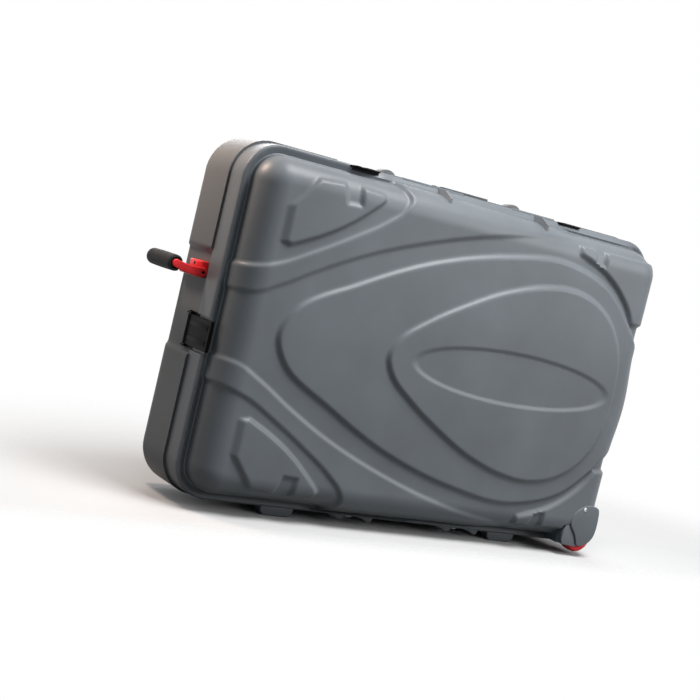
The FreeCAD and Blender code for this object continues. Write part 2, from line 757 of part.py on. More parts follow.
def build_latch(name):
    """A draw latch in its own frame: plate and ears on the base, lever hooked behind the lid's rim."""
    stem = f"latch_{name}"
    x, z, turn = LATCHES[name]
    pivot = ("latch_pivot_out", "-latch_pivot_sink")
    plate_top = "latch_plate_thick - base_pocket"
    half = ("-latch_half", "latch_half")
    lever_span = (f"-{LEVER_HALF}", LEVER_HALF)
    lever_top = f"{LEVER_LOW} + lever_thick"

    pieces = [box(stem + "_floor", half, ("latch_plate_start", "latch_plate_reach"),
                  ("-base_pocket", plate_top))]
    ears = [("-latch_half", "ear_thick - latch_half"), ("latch_half - ear_thick", "latch_half")]
    for i, span in enumerate(ears):
        pieces.append(box(f"{stem}_ear{i}", span,
                          ("latch_pivot_out - ear_half", "latch_pivot_out + ear_half"),
                          (plate_top, "ear_top")))
    bores = [rod(stem + "_ear_bore", "x", ("-latch_half - overrun", *pivot), "latch_pin_radius + running_gap",
                 "2 * (latch_half + overrun)")]
    for i, way in enumerate("-+"):
        bores.append(rod(f"{stem}_rivet_bore{i}", "z", (f"{way}rivet_at", "rivet_out", "-overrun"),
                         "rivet_radius + running_gap", "2 * overrun"))
    housing = cut(stem + "_housing", fuse(stem + "_housing_body", pieces), bores)

    hook_end = "-(rim_depth + fit_gap + hook_thick)"
    pieces = [
        box(stem + "_bar", lever_span, (hook_end, "latch_pivot_out"), (LEVER_LOW, lever_top)),
        rod(stem + "_boss", "x", (f"-{LEVER_HALF}", *pivot), "lever_boss", f"2 * {LEVER_HALF}"),
        box(stem + "_hook", lever_span, (hook_end, "-(rim_depth + fit_gap)"), ("-hook_drop", lever_top)),
        box(stem + "_lip", lever_span, (f"{hook_end} - lever_lip", hook_end),
            (f"{lever_top} - lever_thick / 2", lever_top)),
    ]
    for i, way in enumerate("-+"):
        middle = f"{way}{LEVER_HALF} / 2"
        pieces.append(box(f"{stem}_rib{i}", (f"{middle} - lever_rib_width", f"{middle} + lever_rib_width"),
                          (f"{hook_end} + hook_thick", "latch_pivot_out - 2 * lever_boss"),
                          (lever_top, f"{lever_top} + lever_rib")))
    bore = rod(stem + "_lever_bore", "x", ("-latch_half - overrun", *pivot), "latch_pin_radius + running_gap",
               "2 * (latch_half + overrun)")
    lever = cut(stem + "_lever_solid", fuse(stem + "_lever_body", pieces), [bore])
    pin = group(stem + "_pin_solid", [rod(stem + "_rod", "x", ("-latch_half", *pivot), "latch_pin_radius",
                                          "2 * latch_half")])
    for part, item in (("plate", housing), ("lever", lever), ("pin", pin)):
        keep(f"{stem}_{part}", place(item, f"{ORIGIN_X} + {x}", "0", z, turn))

    rivets = []
    for i, way in enumerate("-+"):
        head = rod(f"{stem}_rivet{i}_head", "z", (f"{way}rivet_at", "rivet_out", plate_top),
                   "rivet_head_radius", "rivet_head")
        shank = rod(f"{stem}_rivet{i}_shank", "z", (f"{way}rivet_at", "rivet_out", "-base_pocket - wall"),
                    "rivet_radius", "latch_plate_thick + wall")
        rivets.append(fuse(f"{stem}_rivet{i}", [head, shank]))
    return place(group(stem + "_rivets", rivets), f"{ORIGIN_X} + {x}", "0", z, turn)


def build_latches():
    keep("latch_rivets", group("latch_rivet_group", [build_latch(name) for name in LATCHES]))


def build_carry_handle():
    """A folding handle that lies in a pocket of the base's top edge and swings up about X."""
    middle = f"({ORIGIN_X} + carry_at)"
    plate_top = f"({CARRY_FLOOR} + carry_plate_thick)"
    inner = "carry_half - pocket_gap"
    depth = ("carry_start + pocket_gap", "carry_start + carry_width - pocket_gap")
    ear_low, ear_high = "carry_bar_half + fit_gap", "carry_bar_half + fit_gap + carry_ear"
    pivot = ("carry_pivot_out", CARRY_Z)
    boss_y = ("carry_pivot_out - carry_boss", "carry_pivot_out + carry_boss")
    bore_radius = "carry_pin_radius + running_gap"

    floor = box("carry_floor", (f"{middle} - ({inner})", f"{middle} + ({inner})"), depth,
                (CARRY_FLOOR, plate_top))
    ears = [box("carry_ear_left", (f"{middle} - ({ear_high})", f"{middle} - ({ear_low})"), boss_y,
                (plate_top, f"{CARRY_Z} + carry_boss")),
            box("carry_ear_right", (f"{middle} + {ear_low}", f"{middle} + {ear_high}"), boss_y,
                (plate_top, f"{CARRY_Z} + carry_boss"))]
    bore = rod("carry_ear_bore", "x", (f"{middle} - carry_half - overrun", *pivot), bore_radius,
               "2 * (carry_half + overrun)")
    keep("carry_plate", cut("carry_plate_solid", fuse("carry_plate_body", [floor] + ears), [bore]))

    bar_y = ("carry_start + 2 * pocket_gap", "carry_start + 2 * pocket_gap + carry_bar_width")
    level = (f"{plate_top} + fit_gap", f"{BASE_HIGH} + carry_bar_top")
    pieces = [box("carry_bar", (f"{middle} - carry_bar_half", f"{middle} + carry_bar_half"), bar_y, level)]
    for end, (low, high) in {"left": ("-carry_bar_half", "carry_arm - carry_bar_half"),
                             "right": ("carry_bar_half - carry_arm", "carry_bar_half")}.items():
        span = (f"{middle} + {low}", f"{middle} + {high}")
        pieces.append(box(f"carry_arm_{end}", span, (bar_y[0], "carry_pivot_out"),
                          (f"{CARRY_Z} - carry_boss", f"{CARRY_Z} + carry_pin_radius")))
        pieces.append(rod(f"carry_boss_{end}", "x", (span[0], *pivot), "carry_boss", "carry_arm"))
    bore = rod("carry_handle_bore", "x", (f"{middle} - carry_half - overrun", *pivot), bore_radius,
               "2 * (carry_half + overrun)")
    keep("carry_handle", cut("carry_handle_solid", fuse("carry_handle_body", pieces), [bore]))

    length = "carry_arm + fit_gap + carry_ear"
    starts = {"left": f"{middle} - ({ear_high})", "right": f"{middle} + carry_bar_half - carry_arm"}
    pins = [rod(f"carry_pin_{end}", "x", (start, *pivot), "carry_pin_radius", length)
            for end, start in starts.items()]
    keep("carry_pins", group("carry_pin_group", pins))


def build_tow_handle():
    """A bail on the end of the base: a bracket block, two arms on one pivot pin and a foam grip on a tube."""
    pin_x = f"{ORIGIN_X} + {TOW_X}"
    floor = f"{ORIGIN_X} + {RECESS_X}"
    block = box("tow_block", (f"{floor} - tow_bracket_out", floor),
                ("tow_centre - tow_bracket_half", "tow_centre + tow_bracket_half"),
                ("tow_height - tow_bracket_below", "tow_height + tow_bracket_above"))
    bores = [rod("tow_block_bore", "y", (pin_x, "-overrun", "tow_height"), "tow_pin_radius + running_gap",
                 "2 * tow_centre + 2 * overrun")]
    screws = []
    for i, way in enumerate("-+"):
        spot_yz = (f"tow_centre {way} tow_screw_at", "tow_height + tow_screw_rise")
        bores.append(rod(f"tow_screw_bore{i}", "x", (f"{floor} - tow_bracket_out - overrun", *spot_yz),
                         "screw_radius + running_gap", "2 * overrun"))
        head = rod(f"tow_screw_head{i}", "x", (f"{floor} - tow_bracket_out - screw_head", *spot_yz),
                   "screw_head_radius", "screw_head")
        shank = rod(f"tow_screw_shank{i}", "x", (f"{floor} - tow_bracket_out", *spot_yz),
                    "screw_radius", "tow_bracket_out + wall")
        screws.append(fuse(f"tow_screw{i}", [head, shank]))
    keep("tow_bracket", cut("tow_bracket_solid", block, bores))
    keep("tow_screws", group("tow_screw_group", screws))

    arm_in = "tow_grip_length / 2 + fit_gap"
    starts = {"near": f"tow_centre - ({arm_in}) - tow_arm_thick", "far": f"tow_centre + {arm_in}"}
    for name, start in starts.items():
        stem = f"tow_arm_{name}"
        pieces = [box(stem + "_bar", ("-tow_reach", "0"), ("0", "tow_arm_thick"),
                      ("-tow_arm_half", "tow_arm_half")),
                  rod(stem + "_root", "y", ("0", "0", "0"), "tow_arm_half", "tow_arm_thick"),
                  rod(stem + "_tip", "y", ("-tow_reach", "0", "0"), "tow_arm_half", "tow_arm_thick")]
        bores = [rod(stem + "_pivot_bore", "y", ("0", "-overrun", "0"), "tow_pin_radius + running_gap",
                     "2 * overrun"),
                 rod(stem + "_tube_bore", "y", ("-tow_reach", "-overrun", "0"), "tow_tube_radius",
                     "2 * overrun")]
        arm = cut(stem + "_solid", fuse(stem + "_body", pieces), bores)
        place(arm, pin_x, start, "tow_height", number("tow_tilt"))
        keep(stem, arm)

    grip_z = "tow_height + tow_reach * sin(tow_tilt * 1 deg)"
    grip_x = f"{ORIGIN_X} + {GRIP_X}"
    tube_half = f"({arm_in} + tow_arm_thick)"
    half = "(tow_grip_length / 2)"
    keep("tow_grip_tube", rod("tow_tube", "y", (grip_x, f"tow_centre - {tube_half}", grip_z),
                              "tow_tube_radius", f"2 * {tube_half}"))
    mouth = f"({half} - tow_grip_mouth)"
    foam = turned("tow_foam", [
        (f"-{mouth}", "tow_tube_radius"), (mouth, "tow_tube_radius"), (mouth, "tow_grip_mouth_radius"),
        (half, "tow_grip_mouth_radius"), (half, "tow_grip_radius"), (f"-{half}", "tow_grip_radius"),
        (f"-{half}", "tow_grip_mouth_radius"), (f"-{mouth}", "tow_grip_mouth_radius")])
    keep("tow_grip_foam", lay(foam, grip_x, "tow_centre", grip_z))
    keep("tow_pivot_pin", rod("tow_pin", "y", (pin_x, f"tow_centre - {tube_half}", "tow_height"),
                              "tow_pin_radius", f"2 * {tube_half}"))


def build_wheel(half, side):
    """A transport wheel in the lower corner of one half: fork block, cover, axle, bush, hub and tyre."""
    x = f"({ORIGIN_X} + {WHEEL_X})"
    corners = {kind: [(f"{a} * wheel_radius", f"{b} * wheel_radius") for a, b in shares]
               for kind, shares in (("fork", FORK_SHARES), ("cover", COVER_SHARES))}
    slot = side_span(side, "fork_start + fork_cheek", f"{FORK_END} + overrun")
    screw = [f"{share} * wheel_radius" for share in COVER_SCREW_SHARES]

    def axial(name, radius, near, far, spot_xz=("0", "0")):
        """A cylinder along Y between two distances from the seam."""
        low, high = side_span(side, near, far)
        return rod(f"wheel_{half}_{name}", "y", (spot_xz[0], low, spot_xz[1]), radius, f"({high}) - ({low})")

    fork = cut(f"wheel_{half}_fork_solid",
               plate(f"wheel_{half}_fork_block", corners["fork"], *side_span(side, "fork_start", FORK_END)),
               [axial("slot", "wheel_radius + slot_clear", "fork_start + fork_cheek",
                      f"{FORK_END} + overrun"),
                box(f"wheel_{half}_slot_mouth", ("-wheel_radius - slot_clear", "2 * wheel_radius"), slot,
                    ("-2 * wheel_radius", "0")),
                axial("fork_bore", "axle_radius + running_gap", "fork_start - overrun", FORK_END),
                axial("fork_screw_bore", "screw_radius + running_gap", f"{FORK_END} - fork_cheek",
                      f"{FORK_END} + overrun", screw)])
    cover = cut(f"wheel_{half}_cover_solid",
                plate(f"wheel_{half}_cover_plate", corners["cover"],
                      *side_span(side, FORK_END, f"{FORK_END} + cover_thick")),
                [axial("cover_bore", "axle_radius + running_gap", f"{FORK_END} - overrun",
                       f"{FORK_END} + cover_thick / 2"),
                 axial("cover_screw_bore", "screw_radius + running_gap", FORK_END,
                       f"{FORK_END} + overrun", screw)])
    screw_solid = fuse(f"wheel_{half}_screw_solid", [
        axial("screw_head", "screw_head_radius", f"{FORK_END} + cover_thick",
              f"{FORK_END} + cover_thick + screw_head", screw),
        axial("screw_shank", "screw_radius", f"{FORK_END} - fork_cheek", f"{FORK_END} + cover_thick", screw)])
    axle = group(f"wheel_{half}_axle_solid", [
        axial("axle_rod", "axle_radius", "fork_start", f"{FORK_END} + cover_thick / 2")])
    for part, item in (("fork", fork), ("cover", cover), ("cover_screw", screw_solid), ("axle", axle)):
        keep(f"wheel_{half}_{part}", place(item, x, "0", "wheel_height"))

    centre = f"{side} * (fork_start + fork_cheek + {SLOT_WIDTH} / 2)"
    boss = f"({SLOT_WIDTH} / 2 - fit_gap)"
    rim = "(wheel_width / 2)"
    bush = turned(f"wheel_{half}_bush_turning", [
        (f"-{boss}", "axle_radius + running_gap"), (boss, "axle_radius + running_gap"),
        (boss, "bush_radius"), (f"-{boss}", "bush_radius")])
    hub = turned(f"wheel_{half}_hub_turning", [
        (f"-{boss}", "bush_radius"), (boss, "bush_radius"), (boss, "hub_boss_radius"),
        (rim, "hub_boss_radius"), (rim, "hub_radius"), (f"-{rim}", "hub_radius"),
        (f"-{rim}", "hub_boss_radius"),
        (f"-{boss}", "hub_boss_radius")])
    bevel = "wheel_round"
    tyre = turned(f"wheel_{half}_tyre_turning", [
        (f"-{rim}", "hub_radius"), (rim, "hub_radius"), (rim, f"wheel_radius - {bevel}"),
        (f"{rim} - {bevel} / 3", f"wheel_radius - {bevel} / 3"), (f"{rim} - {bevel}", "wheel_radius"),
        (f"{bevel} - {rim}", "wheel_radius"), (f"{bevel} / 3 - {rim}", f"wheel_radius - {bevel} / 3"),
        (f"-{rim}", f"wheel_radius - {bevel}")])
    for part, item in (("bush", bush), ("hub", hub), ("tyre", tyre)):
        keep(f"wheel_{half}_{part}", lay(item, x, centre, "wheel_height"))


def foam_points(step):
    """The foam's outline with clipped corners, drawn in by a step."""
    long, high, clip = f"(foam_half_length - {step})", f"(foam_half_height - {step})", "foam_corner"
    return [(f"-{long}", f"{clip} - {high}"), (f"{clip} - {long}", f"-{high}"),
            (f"{long} - {clip}", f"-{high}"), (long, f"{clip} - {high}"),
            (long, f"{high} - {clip}"), (f"{long} - {clip}", high),
            (f"{clip} - {long}", high), (f"-{long}", f"{high} - {clip}")]


def build_foam(half, side):
    """A foam pad against the inside of one half, with a crown that stands in from its edges."""
    wall_at = f"{VALLEY_DEPTH} - wall - fit_gap" if side < 0 else f"{BASE_BACK} - wall - fit_gap"
    body = plate(f"foam_{half}_body", foam_points("0"),
                 *side_span(side, f"{wall_at} - foam_thick + foam_crown", wall_at))
    crown = plate(f"foam_{half}_crown", foam_points("2 * foam_crown"),
                  *side_span(side, f"{wall_at} - foam_thick", f"{wall_at} - foam_thick / 2"))
    keep(f"foam_{half}", place(fuse(f"foam_{half}_pad", [body, crown]), ORIGIN_X, "0", MIDDLE))


def build_straps():
    """Two webbing straps over the base's foam, tabbed to the back wall beyond it, with a buckle each."""
    back = f"({BASE_BACK} - wall - fit_gap)"
    over = f"({back} - foam_thick - fit_gap)"
    end = "(foam_half_height + strap_over)"
    anchors = []
    for name, way in (("left", "-"), ("right", "")):
        middle = f"({ORIGIN_X} + {way}strap_at)"
        across = (f"{middle} - strap_width / 2", f"{middle} + strap_width / 2")
        pieces = [box(f"strap_{name}_run", across, (f"{over} - strap_thick", over),
                      (f"{MIDDLE} - {end}", f"{MIDDLE} + {end}"))]
        for spot_name, sign in (("low", -1), ("high", 1)):
            stem = f"strap_{name}_{spot_name}"
            fold = f"{MIDDLE} + {sign} * {end}"
            drop = sorted([fold, f"{MIDDLE} + {sign} * ({end} - strap_thick)"], key=number)
            tab = sorted([fold, f"{MIDDLE} + {sign} * ({end} + strap_tab)"], key=number)
            clamp = sorted([f"{fold} + {sign} * fit_gap", f"{fold} + {sign} * strap_tab"], key=number)
            pieces.append(box(stem + "_drop", across, (f"{over} - strap_thick", back), drop))
            pieces.append(box(stem + "_tab", across, (f"{back} - strap_thick", back), tab))
            seat = f"({back} - strap_thick - fit_gap)"
            anchors.append(box(stem + "_anchor", (f"{middle} - anchor_half", f"{middle} + anchor_half"),
                               (f"{seat} - anchor_thick", seat), clamp))
        keep(f"strap_{name}", fuse(f"strap_{name}_web", pieces))
        top = f"({over} - strap_thick - fit_gap)"
        frame = box(f"buckle_{name}_frame", (f"{middle} - buckle_half", f"{middle} + buckle_half"),
                    (f"{top} - buckle_thick", top), (f"{MIDDLE} - buckle_half", f"{MIDDLE} + buckle_half"))
        slots = []
        for spot_name, low, high in (("low", "buckle_bar - buckle_half", "-buckle_bar / 2"),
                                     ("high", "buckle_bar / 2", "buckle_half - buckle_bar")):
            slots.append(box(f"buckle_{name}_{spot_name}_slot",
                             (f"{middle} - buckle_half + buckle_bar", f"{middle} + buckle_half - buckle_bar"),
                             (f"{top} - buckle_thick - overrun", f"{top} + overrun"),
                             (f"{MIDDLE} + {low}", f"{MIDDLE} + {high}")))
        keep(f"buckle_{name}", cut(f"buckle_{name}_solid", frame, slots))
    keep("strap_anchors", group("strap_anchor_group", anchors))


build_shells()
for hinge, hinge_at in HINGES.items():
    build_hinge(hinge, hinge_at)
for case_half, case_side in SIDES.items():
    build_hinge_screws(case_half, case_side)
    build_wheel(case_half, case_side)
    build_foam(case_half, case_side)
build_latches()
build_carry_handle()
build_tow_handle()
build_straps()
doc.recompute()

bad = [item.Name for item in doc.Objects if {"Invalid", "Error"} & set(item.State)]
bad += [label for label, item in nodes.items() if item.Shape.isNull() or not item.Shape.isValid()]
if bad:
    raise RuntimeError(f"failed objects: {bad}")
os.makedirs("parts", exist_ok=True)
for label, item in nodes.items():
    item.Shape.exportStep(f"parts/{label}.step")
print(f"{len(nodes)} nodes written")
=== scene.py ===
"""Looks of a hard clamshell bike travel case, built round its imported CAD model.

Shapes are worked out in millimetres in the case's own axes: X along the case from the middle of its rim,
Y from the seam (lid negative, base positive) and Z up from the floor. Bench turns them to metres in the
frame.
"""

import json
import logging
import math
from dataclasses import dataclass, field
from enum import Enum
from typing import Any, Callable, Iterable, Sequence

import bmesh
import bpy
import numpy as np
from mathutils import Matrix, Vector

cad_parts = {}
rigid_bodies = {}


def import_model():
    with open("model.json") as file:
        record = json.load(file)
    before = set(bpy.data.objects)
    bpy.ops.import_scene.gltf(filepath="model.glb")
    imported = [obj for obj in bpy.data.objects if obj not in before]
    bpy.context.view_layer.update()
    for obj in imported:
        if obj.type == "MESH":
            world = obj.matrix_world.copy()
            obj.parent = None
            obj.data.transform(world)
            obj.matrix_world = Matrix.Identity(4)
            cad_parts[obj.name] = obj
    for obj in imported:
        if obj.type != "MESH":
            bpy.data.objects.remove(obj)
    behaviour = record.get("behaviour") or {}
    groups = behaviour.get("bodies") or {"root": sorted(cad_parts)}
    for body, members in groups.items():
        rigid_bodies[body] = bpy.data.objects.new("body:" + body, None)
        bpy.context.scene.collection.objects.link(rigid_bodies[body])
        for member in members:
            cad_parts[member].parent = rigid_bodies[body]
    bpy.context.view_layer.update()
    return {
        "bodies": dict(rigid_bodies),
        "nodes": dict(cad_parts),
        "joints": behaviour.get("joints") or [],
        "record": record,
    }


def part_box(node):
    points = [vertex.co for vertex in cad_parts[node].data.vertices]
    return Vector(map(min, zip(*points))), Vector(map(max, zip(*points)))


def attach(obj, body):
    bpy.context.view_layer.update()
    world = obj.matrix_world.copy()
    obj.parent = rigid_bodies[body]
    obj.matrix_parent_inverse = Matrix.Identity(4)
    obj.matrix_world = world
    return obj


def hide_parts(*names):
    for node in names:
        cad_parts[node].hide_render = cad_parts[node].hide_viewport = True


LOG = logging.getLogger("bike_travel_case")
MM = 0.001

Array = np.ndarray
Pairs = Sequence[tuple[float, float]]
Faces = Iterable[Sequence[int]]
Form = tuple[Array, Faces]
Feed = tuple[bpy.types.Node, str]

# Degrees between faces up to which an edge is shaded smooth: on plain pieces, on skins and on close bends.
SMOOTH_DEG = 35
SKIN_SMOOTH_DEG = 40
BEND_SMOOTH_DEG = 50


class Slot(Enum):
    """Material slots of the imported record."""

    SHELL = "shell_plastic"
    BLACK = "black_plastic"
    GREY = "grey_plastic"
    RED = "red_plastic"
    TYRE = "red_tyre"
    SEAL = "seal_rubber"
    GRIP = "grip_foam"
    PAD = "pad_foam"
    WEBBING = "webbing"
    STEEL = "steel"
    BUSH = "bush_metal"


class Side(Enum):
    """The two halves of the case and the way each lies from the seam."""

    LID = -1
    BASE = 1

    @property
    def label(self) -> str:
        """The half's name as the CAD bodies use it."""
        return self.name.lower()


class Axis(Enum):
    """The case's axes and their places in a point."""

    X = 0
    Y = 1
    Z = 2


# Finishes


def linear(hex_code: str) -> tuple[float, float, float, float]:
    """Turns an sRGB hex colour to linear RGBA.

    Args:
        hex_code: six hex digits after a hash.

    Returns:
        Linear red, green and blue with alpha 1.
    """
    values = [int(hex_code[i:i + 2], 16) / 255 for i in (1, 3, 5)]
    red, green, blue = (v / 12.92 if v <= 0.04045 else ((v + 0.055) / 1.055) ** 2.4 for v in values)
    return red, green, blue, 1.0


def add_node(tree: bpy.types.NodeTree, kind: str, settings: dict[str | int, Any] | None = None,
             links: dict[str | int, Feed] | None = None) -> bpy.types.Node:
    """Adds one shader node.

    Args:
        tree: the tree that gets the node.
        kind: the node's type name.
        settings: values by socket name or number, or by property name where no socket has it.
        links: for each input socket, by name or number, the node and output socket that feed it.

    Returns:
        The new node.
    """
    made = tree.nodes.new(kind)
    for name, value in (settings or {}).items():
        if isinstance(name, int) or name in made.inputs:
            made.inputs[name].default_value = value
        else:
            setattr(made, name, value)
    for name, (source, output) in (links or {}).items():
        tree.links.new(source.outputs[output], made.inputs[name])
    return made


def empty_tree(owner: bpy.types.Material | bpy.types.World) -> bpy.types.NodeTree:
    """Turns on the nodes of a material or a world and clears them.

    Args:
        owner: the material or world.

    Returns:
        Its empty node tree.
    """
    owner.use_nodes = True
    owner.node_tree.nodes.clear()
    return owner.node_tree


def per_metre(size_mm: float) -> float:
    """Texture scale at which a noise's period or a cell is about this many millimetres."""
    return 1000 / size_mm


# Patches of every finish: octaves of their noise, and its values where the two tones are pure.
PATCH_DETAIL = 4.0
PATCH_ENDS = (0.3, 0.7)
# A wave texture of scale 1 repeats after this many metres.
WAVE_PERIOD = 2 * math.pi / 20


@dataclass(frozen=True)
class Finish:
    """A material as it is made: colours, gloss, and the grain that its making leaves.

    Colour and roughness vary between two values each over the same patches, and a fine grain lifts the
    surface.
    """

    name: str
    dark: str
    pale: str
    patch_mm: float
    grain_mm: float
    grain_lift_mm: float
    roughness: tuple[float, float]
    metallic: float = 0.0
    specular: float = 0.3
    stretch: tuple[float, float, float] = (1.0, 1.0, 1.0)

    def material(self) -> bpy.types.Material:
        """The Blender material, made on first use."""
        found = bpy.data.materials.get(self.name)
        return found or self._make()

    def _make(self) -> bpy.types.Material:
        """Builds the node tree: patches to colour and roughness, grain to bump.

        Returns:
            The new material.
        """
        made = bpy.data.materials.new(self.name)
        tree = empty_tree(made)
        place = add_node(tree, "ShaderNodeTexCoord")
        turned = add_node(tree, "ShaderNodeMapping", {"Scale": self.stretch}, {"Vector": (place, "Object")})
        patches = add_node(tree, "ShaderNodeTexNoise",
                           {"Scale": per_metre(self.patch_mm), "Detail": PATCH_DETAIL},
                           {"Vector": (place, "Object")})
        tones = add_node(tree, "ShaderNodeValToRGB", None, {"Fac": (patches, "Fac")})
        for stop, position, tone in zip(tones.color_ramp.elements, PATCH_ENDS, (self.dark, self.pale)):
            stop.position = position
            stop.color = linear(tone)
        grain = self._grain(tree, turned)
        smoothest, roughest = self.roughness
        rough = add_node(tree, "ShaderNodeMapRange", {"To Min": smoothest, "To Max": roughest},
                         {"Value": (patches, "Fac")})
        bump = add_node(tree, "ShaderNodeBump", {"Strength": 1.0, "Distance": self.grain_lift_mm * MM},
                        {"Height": grain})
        shader = add_node(tree, "ShaderNodeBsdfPrincipled",
                          {"Metallic": self.metallic, "Specular IOR Level": self.specular},
                          {"Base Color": (tones, "Color"), "Roughness": (rough, "Result"),
                           "Normal": (bump, "Normal")})
        add_node(tree, "ShaderNodeOutputMaterial", None, {"Surface": (shader, "BSDF")})
        return made

    def _grain(self, tree: bpy.types.NodeTree, turned: bpy.types.Node) -> Feed:
        """The grain's height: noise whose period is the grain's size."""
        noise = add_node(tree, "ShaderNodeTexNoise", {"Scale": per_metre(self.grain_mm)},
                         {"Vector": (turned, "Vector")})
        return noise, "Fac"


@dataclass(frozen=True)
class CellFoam(Finish):
    """Closed-cell foam: small dimples between thin cell walls."""

    def _grain(self, tree: bpy.types.NodeTree, turned: bpy.types.Node) -> Feed:
        """The grain's height: distance to the nearest cell's centre."""
        cells = add_node(tree, "ShaderNodeTexVoronoi", {"Scale": per_metre(self.grain_mm)},
                         {"Vector": (turned, "Vector")})
        return cells, "Distance"


@dataclass(frozen=True)
class WovenWeb(Finish):
    """Woven webbing: ribs across the strap, one for each weft thread, which wander a little."""

    wander: float = 0.3

    def _grain(self, tree: bpy.types.NodeTree, turned: bpy.types.Node) -> Feed:
        """The grain's height: a wave along the strap whose period is the grain's size."""
        ribs = add_node(tree, "ShaderNodeTexWave",
                        {"Scale": WAVE_PERIOD * per_metre(self.grain_mm), "bands_direction": "Z",
                         "Distortion": self.wander}, {"Vector": (turned, "Vector")})
        return ribs, "Fac"


# Rotationally moulded polyethylene, cool grey: satin, with the fine even grain of a blasted mould.
# The real grain is about 0.5 mm, and it is drawn at 1.4 mm so that it shows.
SHELL_GREY = Finish("moulded_polyethylene_grey", "#585d62", "#61676c", 160, 1.4, 0.05, (0.38, 0.46))
# The base: the same resin from another batch, a little less blue and with less gloss. Its grey is also a
# shade darker than the lid's: painted shade for the dim lower part of the base's end.
SHADED_BASE_GREY = Finish("moulded_polyethylene_base_grey", "#535557", "#5b5d5f", 160, 1.4, 0.05, (0.42, 0.5),
                   specular=0.18)
# Moulded polyamide of the wheels' forks, a cooler grey.
FITTING_GREY = Finish("moulded_polyamide_grey", "#545d63", "#5f686e", 60, 1.0, 0.04, (0.4, 0.5))
# Glass-filled nylon of latches and buckles: near black, slightly mottled where the glass comes to the skin.
LATCH_BLACK = Finish("glass_filled_nylon_black", "#060607", "#0c0c0d", 12, 0.9, 0.03, (0.42, 0.52),
                     specular=0.06)
# Red polycarbonate blend of the tow handle and hubs: bright, with a soft gloss.
HANDLE_RED = Finish("moulded_polycarbonate_red", "#ec2328", "#f5353a", 30, 1.2, 0.015, (0.28, 0.36))
# Cast polyurethane of the wheel tyres: red and waxy, dulled where it rolls.
TYRE_RED = Finish("cast_polyurethane_red", "#e02a32", "#ee3d44", 18, 1.5, 0.04, (0.4, 0.55))
# Extruded rubber of the rim strip.
SEAL_BLACK = Finish("extruded_rubber_black", "#0d0d0e", "#161617", 25, 0.8, 0.03, (0.55, 0.7))
# Closed-cell foam sleeve of the tow grip; its 0.6 mm cells are drawn at 1.6 mm so that they show.
GRIP_FOAM = CellFoam("closed_cell_foam_black", "#0c0c0d", "#191a1c", 8, 1.6, 0.25, (0.75, 0.9))
# Cut polyurethane foam of the linings; its 1 mm cells are drawn at 3 mm.
LINING_FOAM = CellFoam("cut_polyurethane_foam", "#2a2b2d", "#38393b", 40, 3.0, 0.5, (0.85, 0.95))
# Woven polyester webbing; the ribs of its 1.6 mm weft threads are drawn at 3.16 mm so that they show.
STRAP_WEB = WovenWeb("woven_polyester_black", "#0f0f10", "#1d1d1f", 10, 3.16, 0.25, (0.6, 0.75))
# Zinc-plated steel of pins, screws and hinge leaves: pale, with a faint drawn grain.
ZINC_STEEL = Finish("zinc_plated_steel", "#a9abad", "#c9cbcd", 9, 0.6, 0.008, (0.22, 0.34), metallic=1.0,
                    stretch=(0.15, 1.0, 1.0))
# Black-oxide steel of the tow bracket's screws.
BLACKED_STEEL = Finish("black_oxide_steel", "#141416", "#202124", 5, 0.5, 0.008, (0.35, 0.45), metallic=1.0)
# Soft rubber moulded round the carry handle, with a coarse leather grain.
HANDLE_RUBBER = CellFoam("overmoulded_rubber_grey", "#3e4244", "#4d5153", 9, 2.6, 0.35, (0.5, 0.65))
# Sintered bronze of the wheel bushes.
BUSH_BRONZE = Finish("sintered_bronze", "#8a6a33", "#a98545", 6, 0.5, 0.01, (0.35, 0.5), metallic=1.0)

FINISH_OF = {
    Slot.SHELL: SHELL_GREY, Slot.BLACK: LATCH_BLACK, Slot.GREY: FITTING_GREY, Slot.RED: HANDLE_RED,
    Slot.TYRE: TYRE_RED, Slot.SEAL: SEAL_BLACK, Slot.GRIP: GRIP_FOAM, Slot.PAD: LINING_FOAM,
    Slot.WEBBING: STRAP_WEB, Slot.STEEL: ZINC_STEEL, Slot.BUSH: BUSH_BRONZE,
}


# Bench: meshes and how they join the frame


def linked(name: str, data: bpy.types.ID) -> bpy.types.Object:
    """Puts a new object in the scene.

    Args:
        name: the object's name.
        data: its mesh, lamp or camera.

    Returns:
        The new object.
    """
    made = bpy.data.objects.new(name, data)
    bpy.context.scene.collection.objects.link(made)
    return made


